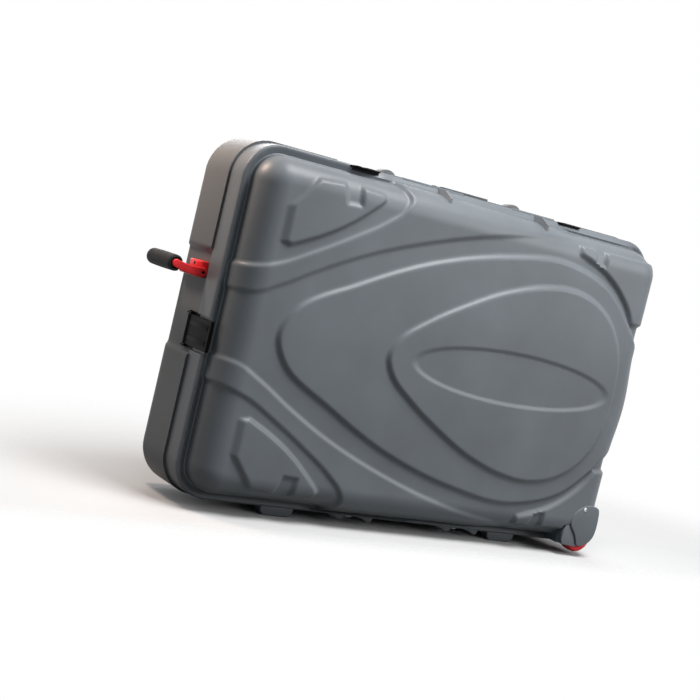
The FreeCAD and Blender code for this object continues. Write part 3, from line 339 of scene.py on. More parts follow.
class Bench:
    """Puts meshes worked out in case millimetres into the scene and onto their CAD bodies.

    Copies of CAD nodes are welded within WELD_MM, flat faces within FLAT_DEG are joined, and edges sharper
    than BEVEL_DEG are bevelled in BEVEL_STEPS.
    """

    WELD_MM = 0.002
    FLAT_DEG = 0.5
    BEVEL_DEG = 40
    BEVEL_STEPS = 2

    def __init__(self, frame: dict[str, Any]) -> None:
        """Reads the case's place, and the slot and body of each node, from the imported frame.
        """
        low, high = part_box("lid_shell")
        self.nodes = frame["nodes"]
        self.covered: set[str] = set()
        self.shift = Vector(((low.x + high.x) / 2, 0, 0))
        self.slot_of = {row["node"]: Slot(row["material_slot"]) for row in frame["record"]["subparts"]}
        bodies = frame["record"]["behaviour"]["bodies"]
        self.body_of = {node: body for body, nodes in bodies.items() for node in nodes}

    def mesh(self, name: str, points: Array, faces: Faces) -> bpy.types.Mesh:
        """A mesh from points in case millimetres.

        Args:
            name: the mesh's name.
            points: an array of points by 3.
            faces: vertex numbers of each face; they are turned to face out.

        Returns:
            The mesh, in metres in the frame.
        """
        made = bpy.data.meshes.new(name)
        placed = np.asarray(points, float) * MM + np.array(self.shift)
        made.from_pydata(placed.tolist(), [], [list(map(int, face)) for face in faces])
        work = bmesh.new()
        work.from_mesh(made)
        bmesh.ops.recalc_face_normals(work, faces=work.faces)
        work.to_mesh(made)
        work.free()
        return made

    def raw(self, name: str, points: Array, faces: Faces) -> bpy.types.Object:
        """Makes and links an object of a form, not yet on a body; see mesh for the arguments."""
        return linked(name, self.mesh(name, points, faces))

    def dress(self, piece: bpy.types.Object, slot: Slot, body: str, replaced: Sequence[str] = (),
              smooth_deg: float = SMOOTH_DEG, finish: Finish | None = None) -> bpy.types.Object:
        """Gives a piece its finish, its body and the nodes that it stands for.

        Args:
            piece: the object to dress.
            slot: the record's material slot.
            body: the CAD body that carries it.
            replaced: CAD nodes that it stands for.
            smooth_deg: edges sharper than this stay crisp.
            finish: a finish other than the slot's usual one.

        Returns:
            The same object.
        """
        piece.data.materials.clear()
        piece.data.materials.append((finish or FINISH_OF[slot]).material())
        piece.data.polygons.foreach_set("use_smooth", [True] * len(piece.data.polygons))
        piece.data.set_sharp_from_angle(angle=math.radians(smooth_deg))
        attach(piece, body)
        if replaced:
            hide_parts(*replaced)
            self.covered.update(replaced)
        LOG.info("%s on %s: %d faces", piece.name, body, len(piece.data.polygons))
        return piece

    def add(self, name: str, points: Array, faces: Faces, slot: Slot, body: str,
            replaced: Sequence[str] = (), smooth_deg: float = SMOOTH_DEG,
            finish: Finish | None = None) -> bpy.types.Object:
        """Makes, links and dresses a piece in one step; see mesh and dress for the arguments."""
        return self.dress(self.raw(name, points, faces), slot, body, replaced, smooth_deg, finish)

    def softened(self, node: str, width_mm: float, finish: Finish | None = None) -> bpy.types.Object:
        """A copy of a CAD node with merged corners and bevelled edges, in its place.

        Args:
            node: the CAD node.
            width_mm: the bevel's width.
            finish: a finish other than the slot's usual one.

        Returns:
            The dressed copy.
        """
        copy = self.nodes[node].data.copy()
        work = bmesh.new()
        work.from_mesh(copy)
        bmesh.ops.remove_doubles(work, verts=work.verts, dist=self.WELD_MM * MM)
        flat = math.radians(self.FLAT_DEG)
        bmesh.ops.dissolve_limit(work, angle_limit=flat, verts=work.verts, edges=work.edges)
        work.to_mesh(copy)
        work.free()
        piece = linked(f"{node}_finished", copy)
        bevel = piece.modifiers.new("edges", "BEVEL")
        bevel.width = width_mm * MM
        bevel.segments = self.BEVEL_STEPS
        bevel.limit_method = "ANGLE"
        bevel.angle_limit = math.radians(self.BEVEL_DEG)
        bevel.use_clamp_overlap = True
        return self.dress(piece, self.slot_of[node], self.body_of[node], [node], self.BEVEL_DEG, finish)


def carve(target: bpy.types.Object, tool: bpy.types.Object) -> None:
    """Cuts a closed mesh with another and removes the tool.

    Args:
        target: the object that keeps the result.
        tool: the other closed mesh.
    """
    step = target.modifiers.new("carve", "BOOLEAN")
    step.operation = "DIFFERENCE"
    step.solver = "MANIFOLD"
    step.object = tool
    bpy.context.view_layer.update()
    depsgraph = bpy.context.evaluated_depsgraph_get()
    result = bpy.data.meshes.new_from_object(target.evaluated_get(depsgraph), depsgraph=depsgraph)
    target.modifiers.clear()
    old = target.data
    target.data = result
    bpy.data.meshes.remove(old)
    spent = tool.data
    bpy.data.objects.remove(tool)
    bpy.data.meshes.remove(spent)


# Shapes


def grid_faces(rows: int, columns: int, wrap_rows: bool = False, wrap_columns: bool = False) -> Array:
    """Quads of a grid of points numbered row by row.

    Args:
        rows: number of rows.
        columns: number of columns.
        wrap_rows: whether the last row joins the first.
        wrap_columns: whether the last column joins the first.

    Returns:
        An array of quads by 4.
    """
    i, j = np.meshgrid(np.arange(rows if wrap_rows else rows - 1),
                       np.arange(columns if wrap_columns else columns - 1), indexing="ij")
    below, beside = (i + 1) % rows, (j + 1) % columns
    corners = [i * columns + j, i * columns + beside, below * columns + beside, below * columns + j]
    return np.stack(corners, -1).reshape(-1, 4)


def smooth_run(points: Pairs, steps: int) -> Array:
    """A smooth curve through points: cubic Hermite spans, with slopes from the neighbours by chord length.

    Args:
        points: the points that it passes through.
        steps: samples on each span.

    Returns:
        The samples, with the last point.
    """
    p = np.asarray(points, float)
    length = np.r_[0, np.cumsum(np.linalg.norm(np.diff(p, axis=0), axis=1))]
    slope = np.gradient(p, length, axis=0)
    t = np.linspace(0, 1, steps, endpoint=False)[None, :, None]
    gap = np.diff(length)[:, None, None]
    a, b = p[:-1, None], p[1:, None]
    m, n = slope[:-1, None] * gap, slope[1:, None] * gap
    span = ((2 * t**3 - 3 * t**2 + 1) * a + (t**3 - 2 * t**2 + t) * m
            + (3 * t**2 - 2 * t**3) * b + (t**3 - t**2) * n)
    return np.vstack([span.reshape(-1, 2), p[-1:]])


def inside_distance(x: Array, z: Array, outline: Array) -> Array:
    """Distance to a closed outline, positive inside: nearest segment for size, crossings of a ray for sign.

    Args:
        x: points' first coordinate, any shape.
        z: points' second coordinate.
        outline: corners of the outline.

    Returns:
        Signed distances in the points' shape.
    """
    starts, ends = outline, np.roll(outline, -1, axis=0)
    runs = ends - starts
    spread = np.maximum((runs**2).sum(1), 1e-12)
    flat = np.stack([x.ravel(), z.ravel()], -1)
    found = []
    for block in np.array_split(flat, max(1, len(flat) // 20000)):
        away = block[:, None] - starts[None]
        share = np.clip((away * runs).sum(-1) / spread, 0, 1)
        near = np.sqrt(((away - share[..., None] * runs) ** 2).sum(-1).min(1))
        rising = (starts[:, 1] > block[:, 1:2]) != (ends[:, 1] > block[:, 1:2])
        height = np.where(np.abs(runs[:, 1]) < 1e-12, 1e-12, runs[:, 1])
        cross = starts[:, 0] + (block[:, 1:2] - starts[:, 1]) / height * runs[:, 0]
        odd = (rising & (block[:, :1] < cross)).sum(1) % 2
        found.append(np.where(odd == 1, near, -near))
    return np.concatenate(found).reshape(x.shape)


def ramp(distance: Array, width: float) -> Array:
    """A soft step from 0 to 1, width across, centred where distance is 0: 3t² - 2t³."""
    t = np.clip(distance / width + 0.5, 0, 1)
    return t * t * (3 - 2 * t)


def runs_left(outline: Array) -> bool:
    """Whether a closed outline runs anticlockwise, by the sign of its area."""
    (x, y), (ahead_x, ahead_y) = np.asarray(outline, float).T, np.roll(outline, -1, axis=0).T
    return bool((x * ahead_y - ahead_x * y).sum() > 0)


def inset_outline(outline: Array, amount: float) -> Array:
    """A closed outline with each corner moved towards the inside along the bisector of its edges.

    Args:
        outline: the corners in order.
        amount: distance between old and new edges.

    Returns:
        The moved corners.
    """
    p = np.asarray(outline, float)
    ahead = np.roll(p, -1, axis=0) - p
    ahead /= np.maximum(np.linalg.norm(ahead, axis=1, keepdims=True), 1e-9)
    behind = np.roll(ahead, 1, axis=0)
    way = 1.0 if runs_left(p) else -1.0
    normal = np.stack([-(ahead + behind)[:, 1], (ahead + behind)[:, 0]], -1) * way
    length = np.maximum(np.linalg.norm(normal, axis=1, keepdims=True), 1e-9)
    return p + normal / length * amount * np.minimum(2 / length, 2.0)


def rounded_prism(outline: Array, low: float, high: float, edge: float, steps: int = 4,
                  axis: Axis = Axis.Y) -> Form:
    """A closed outline carried along an axis, with quarter-round edges at both ends.

    A ring at angle a of each end's round is drawn in by edge times (1 - sin a) and stands edge times
    (1 - cos a) short of the end. The ends are closed with one flat face each.

    Args:
        outline: corners in the plane across the axis, in the axes' cyclic order without it.
        low: start along the axis.
        high: end along the axis.
        edge: radius of the round.
        steps: rings in each round.
        axis: the axis that it is carried along.

    Returns:
        Points and faces, outwards.
    """
    a = np.linspace(0, np.pi / 2, steps + 1)
    depth = np.r_[low + edge * (1 - np.cos(a)), high - edge * (1 - np.cos(a[::-1]))]
    drawn = np.r_[edge * (1 - np.sin(a)), edge * (1 - np.sin(a[::-1]))]
    if edge == 0:
        depth, drawn = np.array([low, high]), np.zeros(2)
    count = len(outline)
    rings = np.stack([inset_outline(outline, amount) for amount in drawn])
    points = np.zeros((len(depth), count, 3))
    points[..., (axis.value + 1) % 3] = rings[..., 0]
    points[..., (axis.value + 2) % 3] = rings[..., 1]
    points[..., axis.value] = depth[:, None]
    faces = grid_faces(len(depth), count, wrap_columns=True).tolist()
    bottom = list(range(count))[::-1]
    top = list(range((len(depth) - 1) * count, len(depth) * count))
    faces += [bottom, top]
    if not runs_left(outline):
        faces = [face[::-1] for face in faces]
    return points.reshape(-1, 3), faces


def merged(forms: Sequence[Form]) -> Form:
    """Several closed forms as one.

    Args:
        forms: points and faces of each form.

    Returns:
        All points, and all faces with their numbers moved on.
    """
    points, faces, first = [], [], 0
    for form_points, form_faces in forms:
        points.append(form_points)
        faces += [[first + int(i) for i in face] for face in form_faces]
        first += len(form_points)
    return np.vstack(points), faces


def rounded_corners(outline: Array, rounds: int = 2) -> Array:
    """A closed outline with its corners cut by quarters, again and again, which tends to a smooth curve.

    Args:
        outline: the corners in order.
        rounds: how many times they are cut.

    Returns:
        The new corners.
    """
    p = np.asarray(outline, float)
    for _ in range(rounds):
        ahead = np.roll(p, -1, axis=0)
        p = np.stack([0.75 * p + 0.25 * ahead, 0.25 * p + 0.75 * ahead], 1).reshape(-1, 2)
    return p


def arc_points(centre: Sequence[float], radius: float, first_deg: float, last_deg: float,
               steps: int) -> Array:
    """Points round an arc in the plane, both ends included."""
    a = np.radians(np.linspace(first_deg, last_deg, steps + 1))
    return np.stack([centre[0] + radius * np.cos(a), centre[1] + radius * np.sin(a)], -1)


def turned_ring(profile: Pairs, centre: Sequence[float], segments: int = 96) -> Form:
    """A closed profile of (distance along Y, radius) turned about an axis parallel to Y.

    Args:
        profile: the section's corners in order.
        centre: X, Y and Z of the axis where the profile's distance is 0.
        segments: steps round the axis.

    Returns:
        Points and quads, outwards for a profile that runs anticlockwise in (distance, radius).
    """
    p = np.asarray(profile, float)
    angle = np.linspace(0, 2 * np.pi, segments, endpoint=False)[:, None]
    x = centre[0] + p[None, :, 1] * np.cos(angle)
    y = centre[1] + np.broadcast_to(p[None, :, 0], x.shape)
    z = centre[2] + p[None, :, 1] * np.sin(angle)
    points = np.stack([x, y, z], -1).reshape(-1, 3)
    return points, grid_faces(segments, len(p), wrap_rows=True, wrap_columns=True)


# Shells


@dataclass
class CaseRelief:
    """Raised areas moulded into the lid and the base, as height over the lowest level of the skin.

    Outlines are shares of half the rim's length and half its height about the rim's middle, the upper half
    alone; the lower half mirrors it.
    """

    half_length: float = 550
    half_height: float = 366
    middle: float = 385
    rise: float = 7.5
    edge_width: float = 10.0
    base_rise: float = 5.0
    base_edge: float = 7
    base_margin: float = 45
    badge_centre: float = 173
    badge_long: float = 272
    badge_high: float = 57
    badge_depth: float = 3
    badge_edge: float = 5
    outer_drop_shares: Pairs = ((1.09, 0.25), (0.98, 0.3), (0.915, 0.38), (0.836, 0.5), (0.693, 0.669),
                                (0.436, 0.762), (0.145, 0.71), (-0.19, 0.571), (-0.495, 0.36),
                                (-0.735, 0.145), (-0.778, 0))
    inner_drop_shares: Pairs = ((0.855, 0), (0.844, 0.191), (0.8, 0.363), (0.718, 0.497), (0.609, 0.579),
                                (0.487, 0.607), (0.364, 0.587), (0.182, 0.508), (0, 0.377), (-0.155, 0.24),
                                (-0.269, 0.104), (-0.3, 0))
    strap_inner_shares: Pairs = ((-1.09, 0.19), (-0.907, 0.197), (-0.815, 0.262), (-0.655, 0.399),
                                 (-0.464, 0.541), (-0.191, 0.694), (0, 0.779), (0.218, 0.852), (0.436, 0.899),
                                 (0.6, 0.934))
    strap_outer_shares: Pairs = ((-0.436, 1.03), (-0.373, 0.934), (-0.345, 0.885), (-0.36, 0.836),
                                 (-0.436, 0.732), (-0.564, 0.607), (-0.718, 0.473), (-0.849, 0.374),
                                 (-0.945, 0.333), (-1.09, 0.32))
    strap_top_shares: Pairs = ((0.62, 1.1), (-0.45, 1.1))
    climb_top_shares: Pairs = ((0.62, 3.0), (-1.09, 3.0))
    strap_fade: tuple[float, float] = (0.36, 0.52)
    strap_low: float = 0.5
    strap_climb: float = 120
    left_pad_shares: Pairs = ((-0.815, 0.486), (-0.852, 0.5), (-0.853, 0.692), (-0.757, 0.863),
                              (-0.643, 0.874), (-0.624, 0.778), (-0.565, 0.781), (-0.567, 0.877),
                              (-0.474, 0.869), (-0.459, 0.845))
    left_pad_curve: Pairs = ((-0.459, 0.845), (-0.532, 0.745), (-0.612, 0.65), (-0.716, 0.556),
                             (-0.815, 0.486))
    left_pad_slopes: Pairs = ((-0.852, 0.5), (-0.853, 0.692), (-0.757, 0.863))
    pad_slope_widths: tuple[float, float] = (15, 9)
    pad_slope_start: float = 0.25
    right_pad_shares: Pairs = ((0.512, 0.88), (0.588, 0.88), (0.6, 0.808), (0.648, 0.795), (0.652, 0.88),
                               (1.09, 0.88), (1.09, 0.48), (0.863, 0.48))
    right_pad_curve: Pairs = ((0.863, 0.48), (0.828, 0.563), (0.78, 0.636), (0.71, 0.714), (0.643, 0.768),
                              (0.567, 0.808), (0.513, 0.832))

    def _scaled(self, shares: Array) -> Array:
        """Shares to millimetres about the rim's middle."""
        return np.asarray(shares) * (self.half_length, self.half_height)

    def _drop(self, shares: Pairs) -> Array:
        """A drop's whole outline: a smooth run through the upper half's points and their mirror image."""
        upper = np.asarray(shares)
        return self._scaled(smooth_run(np.vstack([upper, upper[-2::-1] * (1, -1)]), steps=10))

    def _strap(self, x: Array, up: Array) -> Array:
        """Share of the strap's rise: low at its inner edge, full farther up, and faded out at its right end.

        Args:
            x: distance along the case.
            up: distance from the rim's middle height.

        Returns:
            Shares between 0 and 1.
        """
        edges = (self.strap_inner_shares, self.strap_outer_shares)
        inner, outer = (smooth_run(edge, steps=8) for edge in edges)
        whole = np.vstack([inner, self.strap_top_shares, outer])
        above = np.vstack([inner, self.climb_top_shares])
        inside, climb = (inside_distance(x, up, self._scaled(outline)) for outline in (whole, above))
        low, reach = self.strap_low, self.strap_climb
        begin, end = (share * self.half_length for share in self.strap_fade)
        level = low + (1 - low) * ramp(climb - reach / 2, reach)
        return ramp(inside, self.edge_width) * ramp((begin + end) / 2 - x, end - begin) * level

    def _left_pad(self, x: Array, up: Array) -> Array:
        """Share of the left pad's rise: a crisp edge all round, and a wide slope along its outer two edges.

        Args:
            x: distance along the case.
            up: distance from the rim's middle height.

        Returns:
            Shares between 0 and 1.
        """
        outline = np.vstack([self.left_pad_shares[:-1], smooth_run(self.left_pad_curve, steps=6)[:-1]])
        share = ramp(inside_distance(x, up, self._scaled(outline)), self.edge_width)
        corners = self._scaled(self.left_pad_slopes)
        for start, end, width in zip(corners[:-1], corners[1:], self.pad_slope_widths):
            along = (end - start) / np.linalg.norm(end - start)
            inside = (x - start[0]) * along[1] - (up - start[1]) * along[0]
            share = np.minimum(share, np.clip(inside / width + self.pad_slope_start, 0, 1))
        return share

    def _right_pad(self) -> Array:
        """The right pad's outline: straight sides with a notch, closed by its long curve."""
        curve = smooth_run(self.right_pad_curve, steps=6)
        return self._scaled(np.vstack([self.right_pad_shares[:-1], curve]))

    def lid_height(self, x: Array, z: Array) -> Array:
        """Height of the lid's skin over its valley: a rise on drop, straps and pads, two on the inner drop.

        Args:
            x: distance along the case.
            z: height above the floor.

        Returns:
            Heights in millimetres.
        """
        up = np.abs(z - self.middle)
        width = self.edge_width
        drop, pad = (ramp(inside_distance(x, up, outline), width)
                     for outline in (self._drop(self.outer_drop_shares), self._right_pad()))
        first = np.max([drop, pad, self._strap(x, up), self._left_pad(x, up)], axis=0)
        second = ramp(inside_distance(x, up, self._drop(self.inner_drop_shares)), width)
        reach = np.hypot((x - self.badge_centre) / self.badge_long, up / self.badge_high)
        badge = ramp((1 - reach) * self.badge_high, self.badge_edge)
        return self.rise * (first + second) - self.badge_depth * badge

    def base_height(self, x: Array, z: Array) -> Array:
        """Height of the base's back over its flat: a low rise in a wide drop and another in the inner drop.

        Args:
            x: distance along the case.
            z: height above the floor.

        Returns:
            Heights in millimetres.
        """
        up = np.abs(z - self.middle)
        depth = inside_distance(x, up, self._drop(self.inner_drop_shares))
        return self.base_rise * (ramp(depth + self.base_margin, self.base_edge) + ramp(depth, self.base_edge))


@dataclass
class TraySection:
    """Section of a tray from the edge of its flat core out over its edge and down its wall to the seam.

    Each row is a point of the section: distance out from the core, distance from the seam, and how far both
    move for each millimetre of relief under that point.
    """

    rows: list[tuple[float, float, float, float]] = field(default_factory=list)

    def line(self, start: tuple[float, float], end: tuple[float, float], steps: int,
             gain: tuple[float, float] = (0, 0),
             end_gain: tuple[float, float] | None = None) -> None:
        """Adds points along a straight run, the first left out.

        Args:
            start: distance out and distance from the seam where it starts.
            end: the same where it ends.
            steps: how many points are added.
            gain: moves for each millimetre of relief at the start.
            end_gain: the same at the end, or None where they don't change.
        """
        last = gain if end_gain is None else end_gain
        for s in np.linspace(0, 1, steps + 1)[1:]:
            self.rows.append((start[0] + (end[0] - start[0]) * s, start[1] + (end[1] - start[1]) * s,
                              gain[0] + (last[0] - gain[0]) * s, gain[1] + (last[1] - gain[1]) * s))

    def arc(self, centre: tuple[float, float], radius: float, first_deg: float, last_deg: float, steps: int,
            lifts: float = 1.0) -> None:
        """Adds points round an arc, the first left out.

        Args:
            centre: distance out and distance from the seam.
            radius: the arc's radius.
            first_deg: where it starts, from straight away from the seam.
            last_deg: where it ends.
            steps: how many points are added.
            lifts: moves along the radius for each millimetre of relief.
        """
        for angle in np.radians(np.linspace(first_deg, last_deg, steps + 1)[1:]):
            out, deep = math.sin(angle), math.cos(angle)
            self.rows.append((centre[0] + radius * out, centre[1] + radius * deep, lifts * out, lifts * deep))


@dataclass
class Tray:
    """A rounded tray as one regular grid of points, wrapped from its flat over its edges to the seam.

    Inside the core rectangle a point keeps its grid place. Beyond it, the grid's square corners turn to round
    ones: the angle goes evenly with the ratio of the two steps, and the larger step gives the section's row.
    """

    side: Side
    core_x: float
    core_z: float
    middle: float
    depth: float
    section: TraySection
    spacing: float

    def surface(self, height: Callable[[Array, Array], Array] | None = None) -> tuple[Array, Array]:
        """The grid's points, with the relief's height added along the section's gains.

        Args:
            height: function of x and z that gives the relief, or None for none.

        Returns:
            Points as rows by columns by 3, and the quads facing out of the case.
        """
        rows = np.array([(0.0, self.depth, 0.0, 1.0)] + self.section.rows)
        count = len(rows) - 1
        steps = [max(2, round(2 * core / self.spacing)) for core in (self.core_x, self.core_z)]
        lines = []
        for core, number in zip((self.core_x, self.core_z), steps):
            inner = np.linspace(-core, core, number + 1)
            place = np.r_[np.full(count, -core), inner, np.full(count, core)]
            index = np.r_[-np.arange(count, 0, -1), np.zeros(number + 1), np.arange(1, count + 1)]
            lines.append((place, index))
        cx, cz = np.meshgrid(lines[0][0], lines[1][0], indexing="ij")
        ix, iz = np.meshgrid(lines[0][1], lines[1][1], indexing="ij")
        ax, az = np.abs(ix), np.abs(iz)
        row = np.maximum(ax, az).astype(int)
        wide = np.maximum(np.maximum(ax, az), 1)
        angle = np.where(ax >= az, np.pi / 4 * az / wide, np.pi / 2 - np.pi / 4 * ax / wide)
        way_x, way_z = np.cos(angle) * np.sign(ix), np.sin(angle) * np.sign(iz)
        out, deep, gain_out, gain_deep = rows[row].transpose(2, 0, 1)
        lift = np.zeros_like(out)
        if height:
            lift = height(cx + way_x * out, self.middle + cz + way_z * out)
        reach = out + gain_out * lift
        y = (deep + gain_deep * lift) * self.side.value
        points = np.stack([cx + way_x * reach, y, self.middle + cz + way_z * reach], -1)
        quads = grid_faces(points.shape[0], points.shape[1])
        return points, quads if self.side is Side.BASE else quads[:, ::-1]

    @staticmethod
    def border(rows: int, columns: int) -> Array:
        """Numbers of the grid's border points, once round."""
        i, j = np.arange(rows), np.arange(columns)
        return np.r_[i[:-1] * columns, (rows - 1) * columns + j[:-1],
                     i[:0:-1] * columns + columns - 1, j[:0:-1]]

    def solid(self, points: Array, quads: Array, beyond: float = 0.0) -> Form:
        """Closes the grid with a fan across the seam.

        Args:
            points: the grid's points.
            quads: its faces.
            beyond: how far past the seam the fan lies.

        Returns:
            Points and faces of a closed solid.
        """
        ring = self.border(*points.shape[:2])
        stacked, added = [points.reshape(-1, 3)], []
        if beyond:
            rim = len(stacked[0]) + np.arange(len(ring))
            added.append(np.stack([ring, np.roll(ring, -1), np.roll(rim, -1), rim], -1))
            stacked.append(stacked[0][ring] * (1, 0, 1) - (0, beyond * self.side.value, 0))
            ring = rim
        hub = sum(len(part) for part in stacked)
        added.append(np.stack([ring, np.roll(ring, -1), np.full(len(ring), hub)], -1))
        stacked.append(np.array([[0, -beyond * self.side.value, self.middle]]))
        faces = quads.tolist()
        for part in added:
            faces += (part[:, ::-1] if self.side is Side.BASE else part).tolist()
        return np.vstack(stacked), faces


def block(low: Sequence[float], high: Sequence[float]) -> Form:
    """A plain block between two corners, as a carving tool."""
    outline = np.array([(low[2], low[0]), (high[2], low[0]), (high[2], high[0]), (low[2], high[0])], float)
    return rounded_prism(outline, low[1], high[1], 0, 1)


@dataclass
class Openings:
    """Pockets that latches, wheels and the carry handle take out of the shells, with the CAD's sizes."""

    half_length: float = 550
    top: float = 751
    latch_top_at: tuple[float, float] = (-280, 278)
    latch_end_height: float = 347
    latch_half: float = 38
    lid_sink: float = 6
    base_sink: float = 10
    lid_reach: float = 57
    base_reach: float = 52
    wheel_x: float = 495
    wheel_z: float = 48
    wheel_radius: float = 40
    fork_start: float = 70
    wheel_past: float = 100
    wheel_below: float = 110
    wheel_deep: float = 200
    gap: float = 0.3
    clear: float = 60
    over_seam: float = 1.0
    carry_at: float = 30
    carry_half: float = 80
    carry_y: tuple[float, float] = (7, 55)
    carry_floor: float = 746
    carry_clear: float = 40
    fork_shares: Pairs = ((-1.68, -0.52), (-1.68, 0.6), (-1.08, 0.8), (-0.65, 1.42), (-0.2, 1.75))

    def latch_blocks(self, side: Side, grow: float) -> list[Form]:
        """Blocks of the latch pockets in one half.

        Args:
            side: which half it is.
            grow: how much larger they are on each face in the material.

        Returns:
            Points and faces of each block.
        """
        half = self.latch_half + grow
        sink = (self.lid_sink if side is Side.LID else self.base_sink) + grow
        reach = (self.lid_reach if side is Side.LID else self.base_reach) + grow
        y = (-reach, self.over_seam) if side is Side.LID else (-self.over_seam, reach)
        made = [block((at - half, y[0], self.top - sink), (at + half, y[1], self.top + self.clear))
                for at in self.latch_top_at]
        z = (self.latch_end_height - half, self.latch_end_height + half)
        end = self.half_length - sink
        made.append(block((-self.half_length - self.clear, y[0], z[0]), (-end, y[1], z[1])))
        made.append(block((end, y[0], z[0]), (self.half_length + self.clear, y[1], z[1])))
        return made

    def wheel_block(self, side: Side, grow: float) -> Form:
        """The corner that a wheel's fork takes out of one half.

        Args:
            side: which half it is.
            grow: how much larger it is on each face in the material.

        Returns:
            Points and faces of the block.
        """
        rim = np.asarray(self.fork_shares) * self.wheel_radius
        far, low = self.wheel_past, -self.wheel_below
        outline = np.vstack([[(rim[0, 0], low)], rim, [(far, rim[-1, 1]), (far, low)]])
        outline = inset_outline(outline, -self.gap - grow) + (self.wheel_x, self.wheel_z)
        near, deep = self.fork_start - self.gap - grow, self.wheel_deep
        span = (near, deep) if side is Side.BASE else (-deep, -near)
        return rounded_prism(outline[:, ::-1], *span, 0, 1)

    def carry_block(self, grow: float) -> Form:
        """The pocket of the carry handle in the base's top."""
        half, (near, far), floor = self.carry_half + grow, self.carry_y, self.carry_floor
        return block((self.carry_at - half, near - grow, floor - grow),
                     (self.carry_at + half, far + grow, floor + self.carry_clear))


@dataclass
class Shell:
    """One moulded half: an outer solid with its relief, less its pockets, less the hollow inside."""

    bench: Bench
    relief: CaseRelief
    openings: Openings
    wall: float = 3.5
    hollow_spacing: float = 16
    hollow_beyond: float = 2

    def _hollowed(self, name: str, outer: Form, inner: Form, side: Side, extra: bool) -> bpy.types.Object:
        """Outer solid less pockets, less the inner solid that keeps clear of the pockets' walls.

        Args:
            name: the piece's name.
            outer: points and faces of the outer solid.
            inner: points and faces of the hollow.
            side: which half it is.
            extra: whether the carry handle's pocket is in this half.

        Returns:
            The carved object, not yet dressed.
        """
        body, hollow = self.bench.raw(name, *outer), self.bench.raw(f"{name}_hollow", *inner)
        for target, grow in ((body, 0.0), (hollow, self.wall)):
            tools = self.openings.latch_blocks(side, grow) + [self.openings.wheel_block(side, grow)]
            tools += [self.openings.carry_block(grow)] if extra else []
            for tool in tools:
                carve(target, self.bench.raw("tool", *tool))
        carve(body, hollow)
        return body


